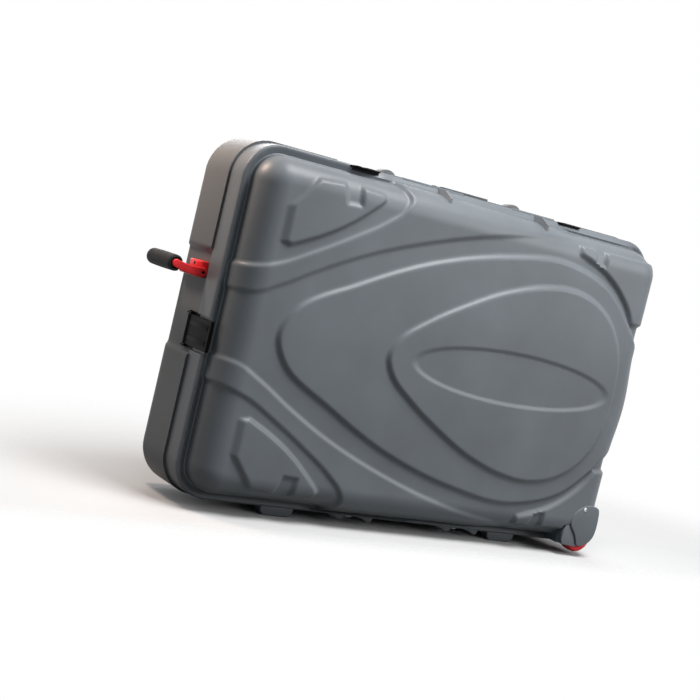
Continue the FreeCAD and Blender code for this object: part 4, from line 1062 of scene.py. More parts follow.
@dataclass
class LidShell(Shell):
    """The lid: rim band, rounded bulge and the relief on its front."""

    core_x: float = 472
    core_z: float = 288
    valley_depth: float = 123
    edge: float = 53
    step_at: float = 57
    valley_corner: float = 58
    rim_corner: float = 78
    rim_round: float = 4.0
    crease: float = 4.0
    crease_round: float = 3.0
    crease_bend: float = 0.9
    crease_clear: float = 1.0
    spacing: float = 3.4
    edge_steps: int = 22
    hollow_edge_steps: int = 9
    fillet_span: tuple[float, float] = (-255, 470)
    fillet_fade: float = 80
    fillet_drop: float = 12.5
    fillet_depth: float = 16
    fillet_side: float = 1.1
    fillet_power: float = 1.5
    bulge: float = 12
    bulge_at: float = -15
    bulge_half: float = 125
    bulge_foot: float = 15

    def _tray(self, shrink: float, spacing: float) -> Tray:
        """The lid's tray.

        Args:
            shrink: how far every face lies inwards, 0 for the skin.
            spacing: distance between the grid's points on its flat.

        Returns:
            The tray, without relief.
        """
        flat = self.valley_corner - self.edge
        deep = self.valley_depth - shrink
        radius = self.edge - shrink
        rim, wall_out = self.rim_corner - shrink, self.valley_corner - shrink
        step = self.step_at - shrink - (self.crease + self.crease_clear if shrink else 0)
        crease = step - (0 if shrink else self.crease)
        r, foot, bend = self.rim_round, self.crease_round, self.crease_bend
        section = TraySection()
        section.line((0, deep), (flat, deep), 1, (0, 1))
        edge_steps = self.hollow_edge_steps if shrink else self.edge_steps
        section.arc((flat, deep - radius), radius, 0, 90, edge_steps)
        section.line((wall_out, deep - radius), (wall_out, crease + foot), 2, (1, 0))
        section.line((wall_out, crease + foot), (wall_out + bend, crease + bend), 1, (1, 0))
        section.line((wall_out + bend, crease + bend), (wall_out + foot, crease), 1, (1, 0))
        section.line((wall_out + foot, crease), (rim - r, step), 3, (1, 0), (0, 0))
        section.arc((rim - r, step - r), r, 0, 90, 4, 0)
        section.line((rim, step - r), (rim, 0), 6)
        return Tray(Side.LID, self.core_x, self.core_z, self.relief.middle, deep, section, spacing)

    def _filleted(self, points: Array) -> Array:
        """Fills the crease along the top, where rim and bulge run together.

        A point moves out from the seam by the fillet's depth at its distance below the rim's edge, less and
        less down the bulge's side, so the rows keep their order.

        Args:
            points: the skin's grid.

        Returns:
            The grid with the fillet.
        """
        x, y, z = points[..., 0], points[..., 1], points[..., 2]
        begin, end = self.fillet_span
        below = np.clip((self.relief.middle + self.core_z + self.rim_corner - z) / self.fillet_drop, 0, 1)
        fade, reach = self.fillet_fade, self.fillet_side * self.fillet_depth
        along = ramp(x - begin, fade) * ramp(end - x, fade) * (z > self.relief.middle + self.core_z)
        side = np.clip((y + self.step_at + reach) / reach, 0, 1)
        filled = points.copy()
        filled[..., 1] = y - self.fillet_depth * below**self.fillet_power * along * side
        return filled

    def _bulged(self, points: Array) -> Array:
        """Swells the right end between its pads: by bulge times (1 - t²)², t from its middle to its ends.

        It grows from the flat's edge out to the wall, and it fades to the rim over the bulge's foot.

        Args:
            points: the skin's grid.

        Returns:
            The grid with the swelling.
        """
        x, y, z = points[..., 0], points[..., 1], points[..., 2]
        t = np.clip((z - self.relief.middle - self.bulge_at) / self.bulge_half, -1, 1)
        wall = np.clip((x - self.core_x) / self.valley_corner, 0, 1)
        clear = np.clip((-y - self.step_at) / self.bulge_foot, 0, 1)
        swelled = points.copy()
        swelled[..., 0] = x + self.bulge * (1 - t**2) ** 2 * wall * clear
        return swelled

    def build(self) -> bpy.types.Object:
        """Makes the lid's skin and puts it in the CAD shell's place.

        Returns:
            The dressed skin.
        """
        outer, inner = self._tray(0, self.spacing), self._tray(self.wall, self.hollow_spacing)
        points, quads = outer.surface(self.relief.lid_height)
        skin = outer.solid(self._bulged(self._filleted(points)), quads)
        hollow = inner.solid(*inner.surface(), self.hollow_beyond)
        piece = self._hollowed("lid_skin", skin, hollow, Side.LID, False)
        return self.bench.dress(piece, Slot.SHELL, "lid", ["lid_shell", "wheel_lid_housing"], SKIN_SMOOTH_DEG)


@dataclass
class BaseShell(Shell):
    """The base: a straight tray with a rounded back edge, a thick rim and a recess for the tow handle."""

    core_x: float = 472
    core_z: float = 288
    back: float = 128
    edge: float = 24
    corner: float = 83
    flange: float = 20
    mouth_corner: float = 78
    spacing: float = 4.5
    recess_x: float = -544
    end_x: float = -555
    recess_z: tuple[float, float] = (308, 508)
    recess_slope: float = 12

    def _recessed(self, points: Array, shrink: float) -> Array:
        """Holds points at the handle's end to the recess's floor, whose depth ramps in over the slopes.

        Args:
            points: the tray's grid.
            shrink: how far the tray lies inwards, 0 for the skin.

        Returns:
            The grid with the recess.
        """
        z = points[..., 2]
        low, high = self.recess_z[0] - shrink, self.recess_z[1] + shrink
        middle_low, middle_high = low - self.recess_slope / 2, high + self.recess_slope / 2
        share = ramp(z - middle_low, self.recess_slope) * ramp(middle_high - z, self.recess_slope)
        floor = self.end_x + shrink + share * (self.recess_x - self.end_x)
        held = points.copy()
        held[..., 0] = np.maximum(points[..., 0], floor)
        return held

    def _tray(self, shrink: float, spacing: float) -> Tray:
        """The base's tray; the hollow narrows again at the flange.

        Args:
            shrink: how far every face lies inwards, 0 for the skin.
            spacing: distance between the grid's points on its flat.

        Returns:
            The tray, without relief.
        """
        flat, deep = self.corner - self.edge, self.back - shrink
        radius, out = self.edge - shrink, self.corner - shrink
        section = TraySection()
        section.line((0, deep), (flat, deep), 5, (0, 1))
        section.arc((flat, deep - radius), radius, 0, 90, 8, 0)
        if shrink > 0:
            mouth = self.mouth_corner - shrink
            section.line((out, deep - radius), (out, self.flange), 4)
            section.line((out, self.flange), (mouth, self.flange), 1)
            section.line((mouth, self.flange), (mouth, 0), 2)
        else:
            section.line((out, deep - radius), (out, 0), 12)
        return Tray(Side.BASE, self.core_x, self.core_z, self.relief.middle, deep, section, spacing)

    def build(self) -> bpy.types.Object:
        """Makes the base's skin and puts it in the CAD shell's place.

        Returns:
            The dressed skin.
        """
        outer, inner = self._tray(0, self.spacing), self._tray(self.wall, self.hollow_spacing)
        points, quads = outer.surface(self.relief.base_height)
        hollow, hollow_quads = inner.surface()
        skin = outer.solid(self._recessed(points, 0), quads)
        space = inner.solid(self._recessed(hollow, self.wall), hollow_quads, self.hollow_beyond)
        piece = self._hollowed("base_skin", skin, space, Side.BASE, True)
        replaced = ["base_shell", "wheel_base_housing", "carry_tub"]
        # The base's skin takes the base grey, whose extra darkness is painted shade.
        return self.bench.dress(piece, Slot.SHELL, "base", replaced, SKIN_SMOOTH_DEG, SHADED_BASE_GREY)


@dataclass
class RimDetails:
    """What is moulded on the edges of the two halves: feet, skid fins, gussets, lips and bumps.

    The fin's curve holds distances along the case and drops below the lid's lower edge. A gusset's sections
    hold the distance from the rim's front, the depths of foot and crest below the lid's top, the places of
    the left foot and of the crest, and the crest's width.
    """

    bench: Bench
    foot_at: tuple[float, float] = (-297, 309)
    foot_half: float = 40
    foot_y: tuple[float, float] = (25, 55)
    foot_round: float = 15
    foot_edge: float = 3
    lid_low: float = 19
    base_low: float = 14
    root: float = 2
    fin_at: tuple[float, ...] = (-139.15, -63.8, 151.25, 231)
    fin_curve: Pairs = ((-36, 0), (-18, 3.2), (-5, 8.8), (0, 10), (4.5, 8), (9, 0))
    fin_y: tuple[float, float] = (-57, -42)
    fin_edge: float = 1.5
    bump_at: tuple[float, float] = (-180, 171)
    bump_half: float = 21
    bump_rise: float = 9.6
    bump_power: float = 2.4
    bump_sink: float = 0.4
    bump_root: float = 3
    bump_y: tuple[float, float] = (14, 40)
    bump_edge: float = 2
    base_top: float = 756
    gusset_at: tuple[float, float] = (-92, 178)
    gusset_sections: tuple[tuple[float, ...], ...] = (
        (-2, 23, 0, -15, 1, 8), (25, 25, 2, -9, 2, 7), (50, 37, 17, 0, 3, 5))
    gusset_flare: float = 1.5
    lip_spans: Pairs = ((-190, -20), (112, 240))
    lip_y: tuple[float, float] = (-57.5, -51)
    lip_rise: float = 2.2
    lip_root: float = 4
    lip_slope: float = 4
    lip_edge: float = 1.6
    lid_top: float = 751
    rim_front: float = -57

    def _gusset(self, at: float) -> Form:
        """A ridge from the lid's rim down over the bulge, narrowing to its foot, as a loft of three sections.

        Args:
            at: its place along the case.

        Returns:
            Points and faces of the closed ridge.
        """
        rings = []
        for way, low, high, left, crest, width in self.gusset_sections:
            y, bottom, top = self.rim_front - way, self.lid_top - low, self.lid_top - high
            right = at + crest + width
            rings.append([(at + left, y, bottom), (at + crest, y, top), (right, y, top),
                          (right + self.gusset_flare, y, bottom)])
        points = np.array(rings, float).reshape(-1, 3)
        faces = grid_faces(len(rings), 4, wrap_columns=True).tolist()
        return points, faces + [[3, 2, 1, 0], [len(points) - 4 + i for i in range(4)]]

    def _foot_outline(self, at: float, top: float) -> Array:
        """A foot's outline in Z and X: straight sides with quarter rounds at the bottom.

        Args:
            at: its place along the case.
            top: the height where it ends in the shell.

        Returns:
            The corners in order.
        """
        a = np.linspace(0, np.pi / 2, 7)
        r, half = self.foot_round, self.foot_half
        right = np.stack([r - r * np.cos(a), half - r + r * np.sin(a)], -1)
        left = right[::-1] * (1, -1)
        outline = np.vstack([left, right, [(top, half), (top, -half)]])
        return outline + (0, at)

    def _fin_outline(self, at: float) -> Array:
        """A fin's outline in Z and X: a long hollow slope, a round tip and a short back.

        Args:
            at: the tip's place along the case.

        Returns:
            The corners in order.
        """
        curve = smooth_run(np.array(self.fin_curve) * (1, -1) + (at, self.lid_low), steps=5)
        top = self.lid_low + self.root
        return np.vstack([curve, [(curve[-1, 0], top), (curve[0, 0], top)]])[:, ::-1]

    def _bump_outline(self, at: float) -> Array:
        """A bump's outline in Z and X: its rise times 1 less a power of s, with s from -1 to 1 along it.

        Args:
            at: its place along the case.

        Returns:
            The corners in order.
        """
        s = np.linspace(-1, 1, 17)
        rise = self.bump_rise * (1 - np.abs(s) ** self.bump_power)
        arc = np.stack([self.base_top - self.bump_sink + rise, at + s * self.bump_half], -1)
        low = self.base_top - self.bump_root
        return np.vstack([arc, [(low, at + self.bump_half), (low, at - self.bump_half)]])

    def _moulded(self, name: str, forms: list[Form], body: str) -> bpy.types.Object:
        """Several closed forms as one piece in the half's grey; on the base that grey is darkened as painted
        shade.
        """
        finish = SHADED_BASE_GREY if body == Side.BASE.label else SHELL_GREY
        return self.bench.add(name, *merged(forms), Slot.SHELL, body, finish=finish)

    def build(self) -> None:
        """Makes feet on both halves, fins, gussets and lips on the lid, and bumps on the base."""
        lid_y = (-self.foot_y[1], -self.foot_y[0])
        for half, low, span in (("lid", self.lid_low, lid_y), ("base", self.base_low, self.foot_y)):
            outlines = [self._foot_outline(at, low + self.root) for at in self.foot_at]
            feet = [rounded_prism(outline, *span, self.foot_edge) for outline in outlines]
            self._moulded(f"{half}_feet", feet, half)
        fins = [rounded_prism(self._fin_outline(at), *self.fin_y, self.fin_edge) for at in self.fin_at]
        self._moulded("lid_fins", fins, "lid")
        self._moulded("lid_gussets", [self._gusset(at) for at in self.gusset_at], "lid")
        low, high, slope = self.lid_top - self.lip_root, self.lid_top + self.lip_rise, self.lip_slope
        outlines = [np.array([(low, left), (high, left + slope), (high, right - slope), (low, right)])
                    for left, right in self.lip_spans]
        lips = [rounded_prism(outline, *self.lip_y, self.lip_edge) for outline in outlines]
        self._moulded("lid_lips", lips, "lid")
        bumps = [rounded_prism(self._bump_outline(at), *self.bump_y, self.bump_edge) for at in self.bump_at]
        self._moulded("base_bumps", bumps, "base")


# Hardware


@dataclass
class TowHandle:
    """The folding tow handle: bracket with screws, two flat red arms, and a foam sleeve on a tube.

    Corners of the bracket's outlines are pairs of radius and steps, the near one first.
    """

    bench: Bench
    pivot: tuple[float, float] = (-557, 467)
    reach: float = 62
    tilt_deg: float = 6.5
    root_half: float = 9.5
    tip_half: float = 8.5
    sag: float = 3.0
    arm_edge: float = 2.4
    near_y: tuple[float, float] = (4.7, 12.7)
    far_y: tuple[float, float] = (119.3, 127.3)
    grip_middle: float = 66
    grip_half: float = 53
    grip_radius: float = 16.5
    grip_round: float = 5.0
    grip_swell: float = 0.6
    mouth_radius: float = 13.4
    mouth_depth: float = 15
    mouth_edge: float = 1
    overlap: float = 6
    slot_gap: float = 1.5
    slot_past: float = 6
    bracket_x: tuple[float, float] = (-565, -544)
    foot_y: tuple[float, float] = (26, 106)
    foot_z: tuple[float, float] = (455, 469)
    foot_corners: tuple[tuple[float, int], tuple[float, int]] = ((5, 5), (5, 5))
    foot_edge: float = 2
    block_y: tuple[float, float] = (16, 62)
    block_z: tuple[float, float] = (455, 489)
    block_corners: tuple[tuple[float, int], tuple[float, int]] = ((11, 8), (3, 4))
    block_edge: float = 3
    screw_yz: Pairs = ((38, 482), (30, 472))
    screw_radius: float = 3.2
    screw_proud: float = 0.8
    screw_sunk: float = 6
    screw_edge: float = 0.3
    bore: float = 6.0
    core_inset: float = 2
    core_edge: float = 0.8

    def _tip(self) -> tuple[float, float]:
        """X and Z of the grip's axis."""
        tilt = math.radians(self.tilt_deg)
        return self.pivot[0] - self.reach * math.cos(tilt), self.pivot[1] + self.reach * math.sin(tilt)

    def _arm_outline(self) -> Array:
        """An arm's outline in Z and X: a bowed bar that narrows to the grip, with round ends.

        Returns:
            The corners in order.
        """
        t = np.linspace(0, 1, 13)[:, None]
        start, end = np.array(self.pivot), np.array(self._tip())
        along = (end - start) / np.linalg.norm(end - start)
        across = np.array((-along[1], along[0]))
        down = across if across[1] < 0 else -across
        spine = start + t * (end - start) + down * self.sag * np.sin(np.pi * t)
        half = self.root_half + (self.tip_half - self.root_half) * t
        heading = math.degrees(math.atan2(along[1], along[0]))
        tip = arc_points(end, self.tip_half, heading + 90, heading - 90, 10)
        root = arc_points(start, self.root_half, heading - 90, heading - 270, 10)
        outline = np.vstack([spine + across * half, tip[1:-1], (spine - across * half)[::-1], root[1:-1]])
        return outline[:, ::-1]

    def _sleeve(self) -> Pairs:
        """The foam's section as distance along the grip and radius, with a mouth at each end.

        Returns:
            The corners in order.
        """
        r, mouth, round_off = self.grip_radius, self.mouth_radius, self.grip_round
        end = self.grip_half + self.overlap
        bed = end - self.mouth_depth
        shoulder = arc_points((end - round_off, r - round_off), round_off, 0, 90, 5)
        right = np.vstack([[(bed, self.bore), (bed, mouth), (end - self.mouth_edge, mouth)], shoulder])
        swell = np.linspace(end - round_off, round_off - end, 15)[1:-1]
        body = np.stack([swell, r + self.grip_swell * np.cos(swell / end * np.pi / 2)], -1)
        return np.vstack([right, body, right[::-1] * (-1, 1)])

    def _plan(self, span: tuple[float, float], corners: Sequence[tuple[float, int]]) -> Array:
        """An outline in X and Y from the recess's floor out to the bracket's face, with two round corners.

        Args:
            span: its near and far end in Y.
            corners: radius and steps of the near and of the far corner.

        Returns:
            The corners in order.
        """
        (out, floor), (low, high) = self.bracket_x, span
        (near, near_steps), (far, far_steps) = corners
        return np.vstack([[(floor, high)], arc_points((out + far, high - far), far, 90, 180, far_steps),
                          arc_points((out + near, low + near), near, 180, 270, near_steps), [(floor, low)]])

    def _bracket(self) -> Form:
        """A low foot across the recess and a taller block behind the near arm, its outer corner well rounded.

        Returns:
            Points and faces of both.
        """
        foot, tall = self._plan(self.foot_y, self.foot_corners), self._plan(self.block_y, self.block_corners)
        return merged([rounded_prism(foot, *self.foot_z, self.foot_edge, axis=Axis.Z),
                       rounded_prism(tall, *self.block_z, self.block_edge, axis=Axis.Z)])

    def _screws(self) -> Form:
        """Two low screw heads on the block's outer face.

        Returns:
            Points and faces of both.
        """
        face = self.bracket_x[0]
        span = (face - self.screw_proud, face + self.screw_sunk)
        rims = [arc_points(spot, self.screw_radius, 0, 360, 20)[:-1] for spot in self.screw_yz]
        return merged([rounded_prism(rim, *span, self.screw_edge, 2, axis=Axis.X) for rim in rims])

    def _slotted_sleeve(self) -> bpy.types.Object:
        """The foam sleeve, cut where the arms leave its open ends.

        Returns:
            The sleeve, not yet dressed.
        """
        x, z = self._tip()
        sleeve = self.bench.raw("tow_grip_sleeve", *turned_ring(self._sleeve(), (x, self.grip_middle, z), 64))
        gap, past = self.slot_gap, self.slot_past
        slot = inset_outline(self._arm_outline(), -gap)
        for low, high in ((self.near_y[0] - past, self.near_y[1] + gap),
                          (self.far_y[0] - gap, self.far_y[1] + past)):
            carve(sleeve, self.bench.raw("tool", *rounded_prism(slot, low, high, 0, 1)))
        return sleeve

    def build(self) -> None:
        """Makes the bracket, the arms, the sleeve and the tube in it."""
        bend = BEND_SMOOTH_DEG
        self.bench.add("tow_bracket_block", *self._bracket(), Slot.RED, "base", ["tow_bracket"], bend)
        self.bench.add("tow_bracket_screws", *self._screws(), Slot.STEEL, "base", ["tow_screws"],
                       finish=BLACKED_STEEL)
        for name, span in (("near", self.near_y), ("far", self.far_y)):
            form = rounded_prism(self._arm_outline(), *span, self.arm_edge)
            self.bench.add(f"tow_arm_{name}_bar", *form, Slot.RED, "tow_handle", [f"tow_arm_{name}"], bend)
        sleeve = self.bench.dress(self._slotted_sleeve(), Slot.GRIP, "tow_handle", ["tow_grip_foam"], bend)
        x, z = self._tip()
        tube = arc_points((0, 0), self.bore, 0, 360, 32)[:-1] + (z, x)
        ends = (self.near_y[0] + self.core_inset, self.far_y[1] - self.core_inset)
        core = rounded_prism(tube, *ends, self.core_edge)
        self.bench.add("tow_grip_core", *core, Slot.STEEL, "tow_handle", ["tow_grip_tube"])


@dataclass
class Wheel:
    """A transport wheel in one half: rounded tyre, the moulded cover over its fork and the plate beside it.

    Shares are of the wheel's radius about its axis. A screw's lengths are counted from the cover's face.
    """

    bench: Bench
    side: Side
    axis: tuple[float, float] = (495, 48)
    radius: float = 40
    rim_radius: float = 28
    middle: float = 98
    half_width: float = 14
    tread_power: float = 0.55
    shoulder_power: float = 0.5
    cover_start: float = 114
    cover_front: dict[Side, float] = field(default_factory=lambda: {Side.LID: 132.2, Side.BASE: 129.5})
    cover_shares: Pairs = ((-0.72, 1.8), (-0.25, 2.0), (0.45, 1.94), (0.72, 1.72), (0.8, 0.38), (0.5, -0.22),
                           (-0.1, -0.54), (-0.5, -0.48), (-0.64, -0.1), (-0.88, 0.28), (-1.24, 0.62),
                           (-1.32, 0.98), (-1.16, 1.44))
    cover_edge: float = 2.5
    cheek_shares: Pairs = ((-1.64, -0.5), (-1.64, 0.56), (-1.1, 0.76), (-0.8, 0.7), (-0.4, 0.1),
                           (-0.3, -0.5), (-0.5, -0.6), (-1.2, -0.55))
    cheek_behind: float = 1.2
    cheek_ahead: float = 14
    cheek_edge: float = 1.6
    screw_share: tuple[float, float] = (-0.46, 1.7)
    screw_radius: float = 4.6
    screw_rise: float = 2.2
    screw_seat: float = 0.6
    screw_stem: float = 4.0
    socket_radius: float = 2.2
    socket_mouth: float = 1.9
    socket_floor: float = 0.4
    axis_gap: float = 0.05

    def _tyre(self) -> Form:
        """The tyre: half of a flattened ellipse, as powers of cosine and sine, turned about the axle.

        Returns:
            Points and faces.
        """
        t = np.linspace(0, np.pi, 25)
        across = self.half_width * np.sign(np.cos(t)) * np.abs(np.cos(t)) ** self.tread_power
        depth = self.radius - self.rim_radius
        out = self.rim_radius + depth * np.sin(t) ** self.shoulder_power
        profile = np.stack([across, np.maximum(out, self.rim_radius)], -1)
        centre = (self.axis[0], self.side.value * self.middle, self.axis[1])
        return turned_ring(profile, centre, 96)

    def _span(self, near: float, far: float) -> tuple[float, float]:
        """Two distances from the seam as a rising span of Y in this half."""
        return (near, far) if self.side is Side.BASE else (-far, -near)

    def _cover(self) -> Form:
        """The cover: its outline with rounded corners, carried out past the shell's face with a soft edge.

        Returns:
            Points and faces.
        """
        outline = rounded_corners(np.asarray(self.cover_shares) * self.radius, 2) + self.axis
        span = self._span(self.cover_start, self.cover_front[self.side])
        return rounded_prism(outline[:, ::-1], *span, self.cover_edge)

    def _cheek(self) -> Form:
        """The plate before the tyre, beside the cover: from the fork's edge to the cover's curved one.

        Returns:
            Points and faces.
        """
        outline = rounded_corners(np.asarray(self.cheek_shares) * self.radius, 1) + self.axis
        span = self._span(self.cover_start - self.cheek_behind, self.cover_start + self.cheek_ahead)
        return rounded_prism(outline[:, ::-1], *span, self.cheek_edge)

    def _screw(self) -> Form:
        """The cover's screw: a domed head with a round socket, turned about its own axis.

        Returns:
            Points and faces.
        """
        head, shank, socket = self.screw_radius, self.screw_radius / 2, self.socket_radius
        stem, seat, floor, gap = -self.screw_stem, -self.screw_seat, self.socket_floor, self.axis_gap
        dome = arc_points((0, 0), 1, 90, 35, 5) * (self.screw_rise, head)
        profile = np.array([(stem, gap), (stem, shank), (seat, shank), (seat, head), *dome,
                            (self.socket_mouth, socket), (floor, socket), (floor, gap)])
        x, z = np.asarray(self.screw_share) * self.radius + self.axis
        centre = (x, self.side.value * self.cover_front[self.side], z)
        return turned_ring(profile * (self.side.value, 1), centre, 40)

    def build(self) -> None:
        """Makes the tyre, the cover with its screw, and the plate beside it."""
        half = self.side.label
        # On the base, the wheel's cover and plate take the base grey, darkened as painted shade.
        finish = SHADED_BASE_GREY if self.side is Side.BASE else SHELL_GREY
        wheel = f"wheel_{half}"
        self.bench.add(f"{wheel}_tread", *self._tyre(), Slot.TYRE, wheel, [f"{wheel}_tyre"])
        self.bench.add(f"{wheel}_cheek", *self._cheek(), Slot.GREY, half, finish=finish)
        self.bench.add(f"{wheel}_cap", *self._cover(), Slot.GREY, half, [f"{wheel}_cover"], finish=finish)
        self.bench.add(f"{wheel}_cap_screw", *self._screw(), Slot.STEEL, half, [f"{wheel}_cover_screw"])


@dataclass
class Lining:
    """Soft parts inside: a foam pad in each half, and two straps over the base's pad."""

    bench: Bench
    middle: float = 385
    half_long: float = 405
    half_high: float = 258
    corner: float = 46
    pad_edge: float = 5
    pad_y: dict[Side, tuple[float, float]] = field(default_factory=lambda: {
        Side.LID: (-119.2, -104.2), Side.BASE: (109.2, 124.2)})
    strap_at: float = 180
    strap_half: float = 12.5
    strap_thick: float = 2
    strap_end: float = 270
    strap_tab: float = 18
    strap_edge: float = 0.4
    strap_bend: float = 4.0
    tab_bend: float = 1.5
    over: float = 108.9
    back: float = 124.2

    def _pad_outline(self) -> Array:
        """A pad's outline in Z and X: a rectangle with round corners.

        Returns:
            The corners in order.
        """
        x, z, r = self.half_long - self.corner, self.half_high - self.corner, self.corner
        turns = (((z, x), 0), ((-z, x), 90), ((-z, -x), 180), ((z, -x), 270))
        return np.vstack([arc_points(c, r, a, a + 90, 8) for c, a in turns]) + (self.middle, 0)

    def _strap_outline(self) -> Array:
        """A strap's section in Y and Z: over the pad, down past its edges and out along the back wall.

        Returns:
            The corners in order.
        """
        t, end, tab = self.strap_thick, self.strap_end, self.strap_end + self.strap_tab
        r, bend = self.strap_bend, self.tab_bend
        turn, back = (self.over - t + r, end - r), self.back
        upper = np.vstack([arc_points(turn, r, 180, 90, 6), [(back - t - bend, end)],
                           arc_points((back - t - bend, end + bend), bend, 270, 360, 4), [(back - t, tab)]])
        under = np.vstack([[(back, tab)], [(back, end - t)], arc_points(turn, r - t, 90, 180, 6)])
        right = np.vstack([upper, under])
        left = right[::-1] * (1, -1)
        return np.vstack([right, left]) + (0, self.middle)

    def build(self) -> None:
        """Makes the pads and the straps."""
        for side, span in self.pad_y.items():
            form = rounded_prism(self._pad_outline(), *span, self.pad_edge, 6)
            pad = self.bench.add(f"{side.label}_pad", *form, Slot.PAD, side.label, [f"foam_{side.label}"])
        for name, way in (("left", -1), ("right", 1)):
            span = (way * self.strap_at - self.strap_half, way * self.strap_at + self.strap_half)
            form = rounded_prism(self._strap_outline(), *span, self.strap_edge, 2, axis=Axis.X)
            self.bench.add(f"strap_{name}_web", *form, Slot.WEBBING, "base", [f"strap_{name}"],
                           BEND_SMOOTH_DEG)


@dataclass
class Hardware:
    """Fittings whose CAD shape is right: their edges are eased and they get their finish.

    The bevel's width goes by the start of a node's name, and other nodes have the plain one.
    """

    bench: Bench
    plain: float = 0.4
    eased: dict[str, float] = field(default_factory=lambda: {
        "latch_": 0.8, "carry_plate": 0.8, "carry_handle": 2.5, "wheel_": 1.2, "buckle_": 1.2,
        "strap_anchors": 0.8, "tow_": 0.5,
    })
    finishes: dict[str, Finish] = field(default_factory=lambda: {"carry_handle": HANDLE_RUBBER})

    def build(self) -> None:
        """Eases every node that no other piece stands for."""
        for node in sorted(set(self.bench.nodes) - self.bench.covered):
            width = next((size for stem, size in self.eased.items() if node.startswith(stem)), self.plain)
            self.bench.softened(node, width, finish=self.finishes.get(node))


# Studio


@dataclass(frozen=True)
class Lamp:
    """A square soft box: its place and aim in the frame and its side in metres, its watts and its colour."""

    name: str
    place: tuple[float, float, float]
    aim: tuple[float, float, float]
    size: float
    power: float
    colour: str = "#ffffff"

    def hang(self) -> None:
        """Adds the lamp to the scene, turned to its aim."""
        data = bpy.data.lights.new(self.name, "AREA")
        data.size = self.size
        data.energy = self.power
        data.color = linear(self.colour)[:3]
        place = Vector(self.place)
        turn = (Vector(self.aim) - place).to_track_quat("-Z", "Y")
        linked(self.name, data).matrix_world = Matrix.Translation(place) @ turn.to_matrix().to_4x4()


def joined(tree: bpy.types.NodeTree, operation: str, first: Feed, second: Feed) -> Feed:
    """Two fed values joined by a Math node's operation, ready to feed a socket."""
    return add_node(tree, "ShaderNodeMath", {"operation": operation}, {0: first, 1: second}), "Value"


def stepped(tree: bpy.types.NodeTree, ends: tuple[float, float], value: Feed) -> Feed:
    """A fed value as a smooth step from 0 to 1 between two ends, ready to feed a socket."""
    settings = {"From Min": ends[0], "From Max": ends[1], "interpolation_type": "SMOOTHSTEP"}
    return add_node(tree, "ShaderNodeMapRange", settings, {"Value": value}), "Result"


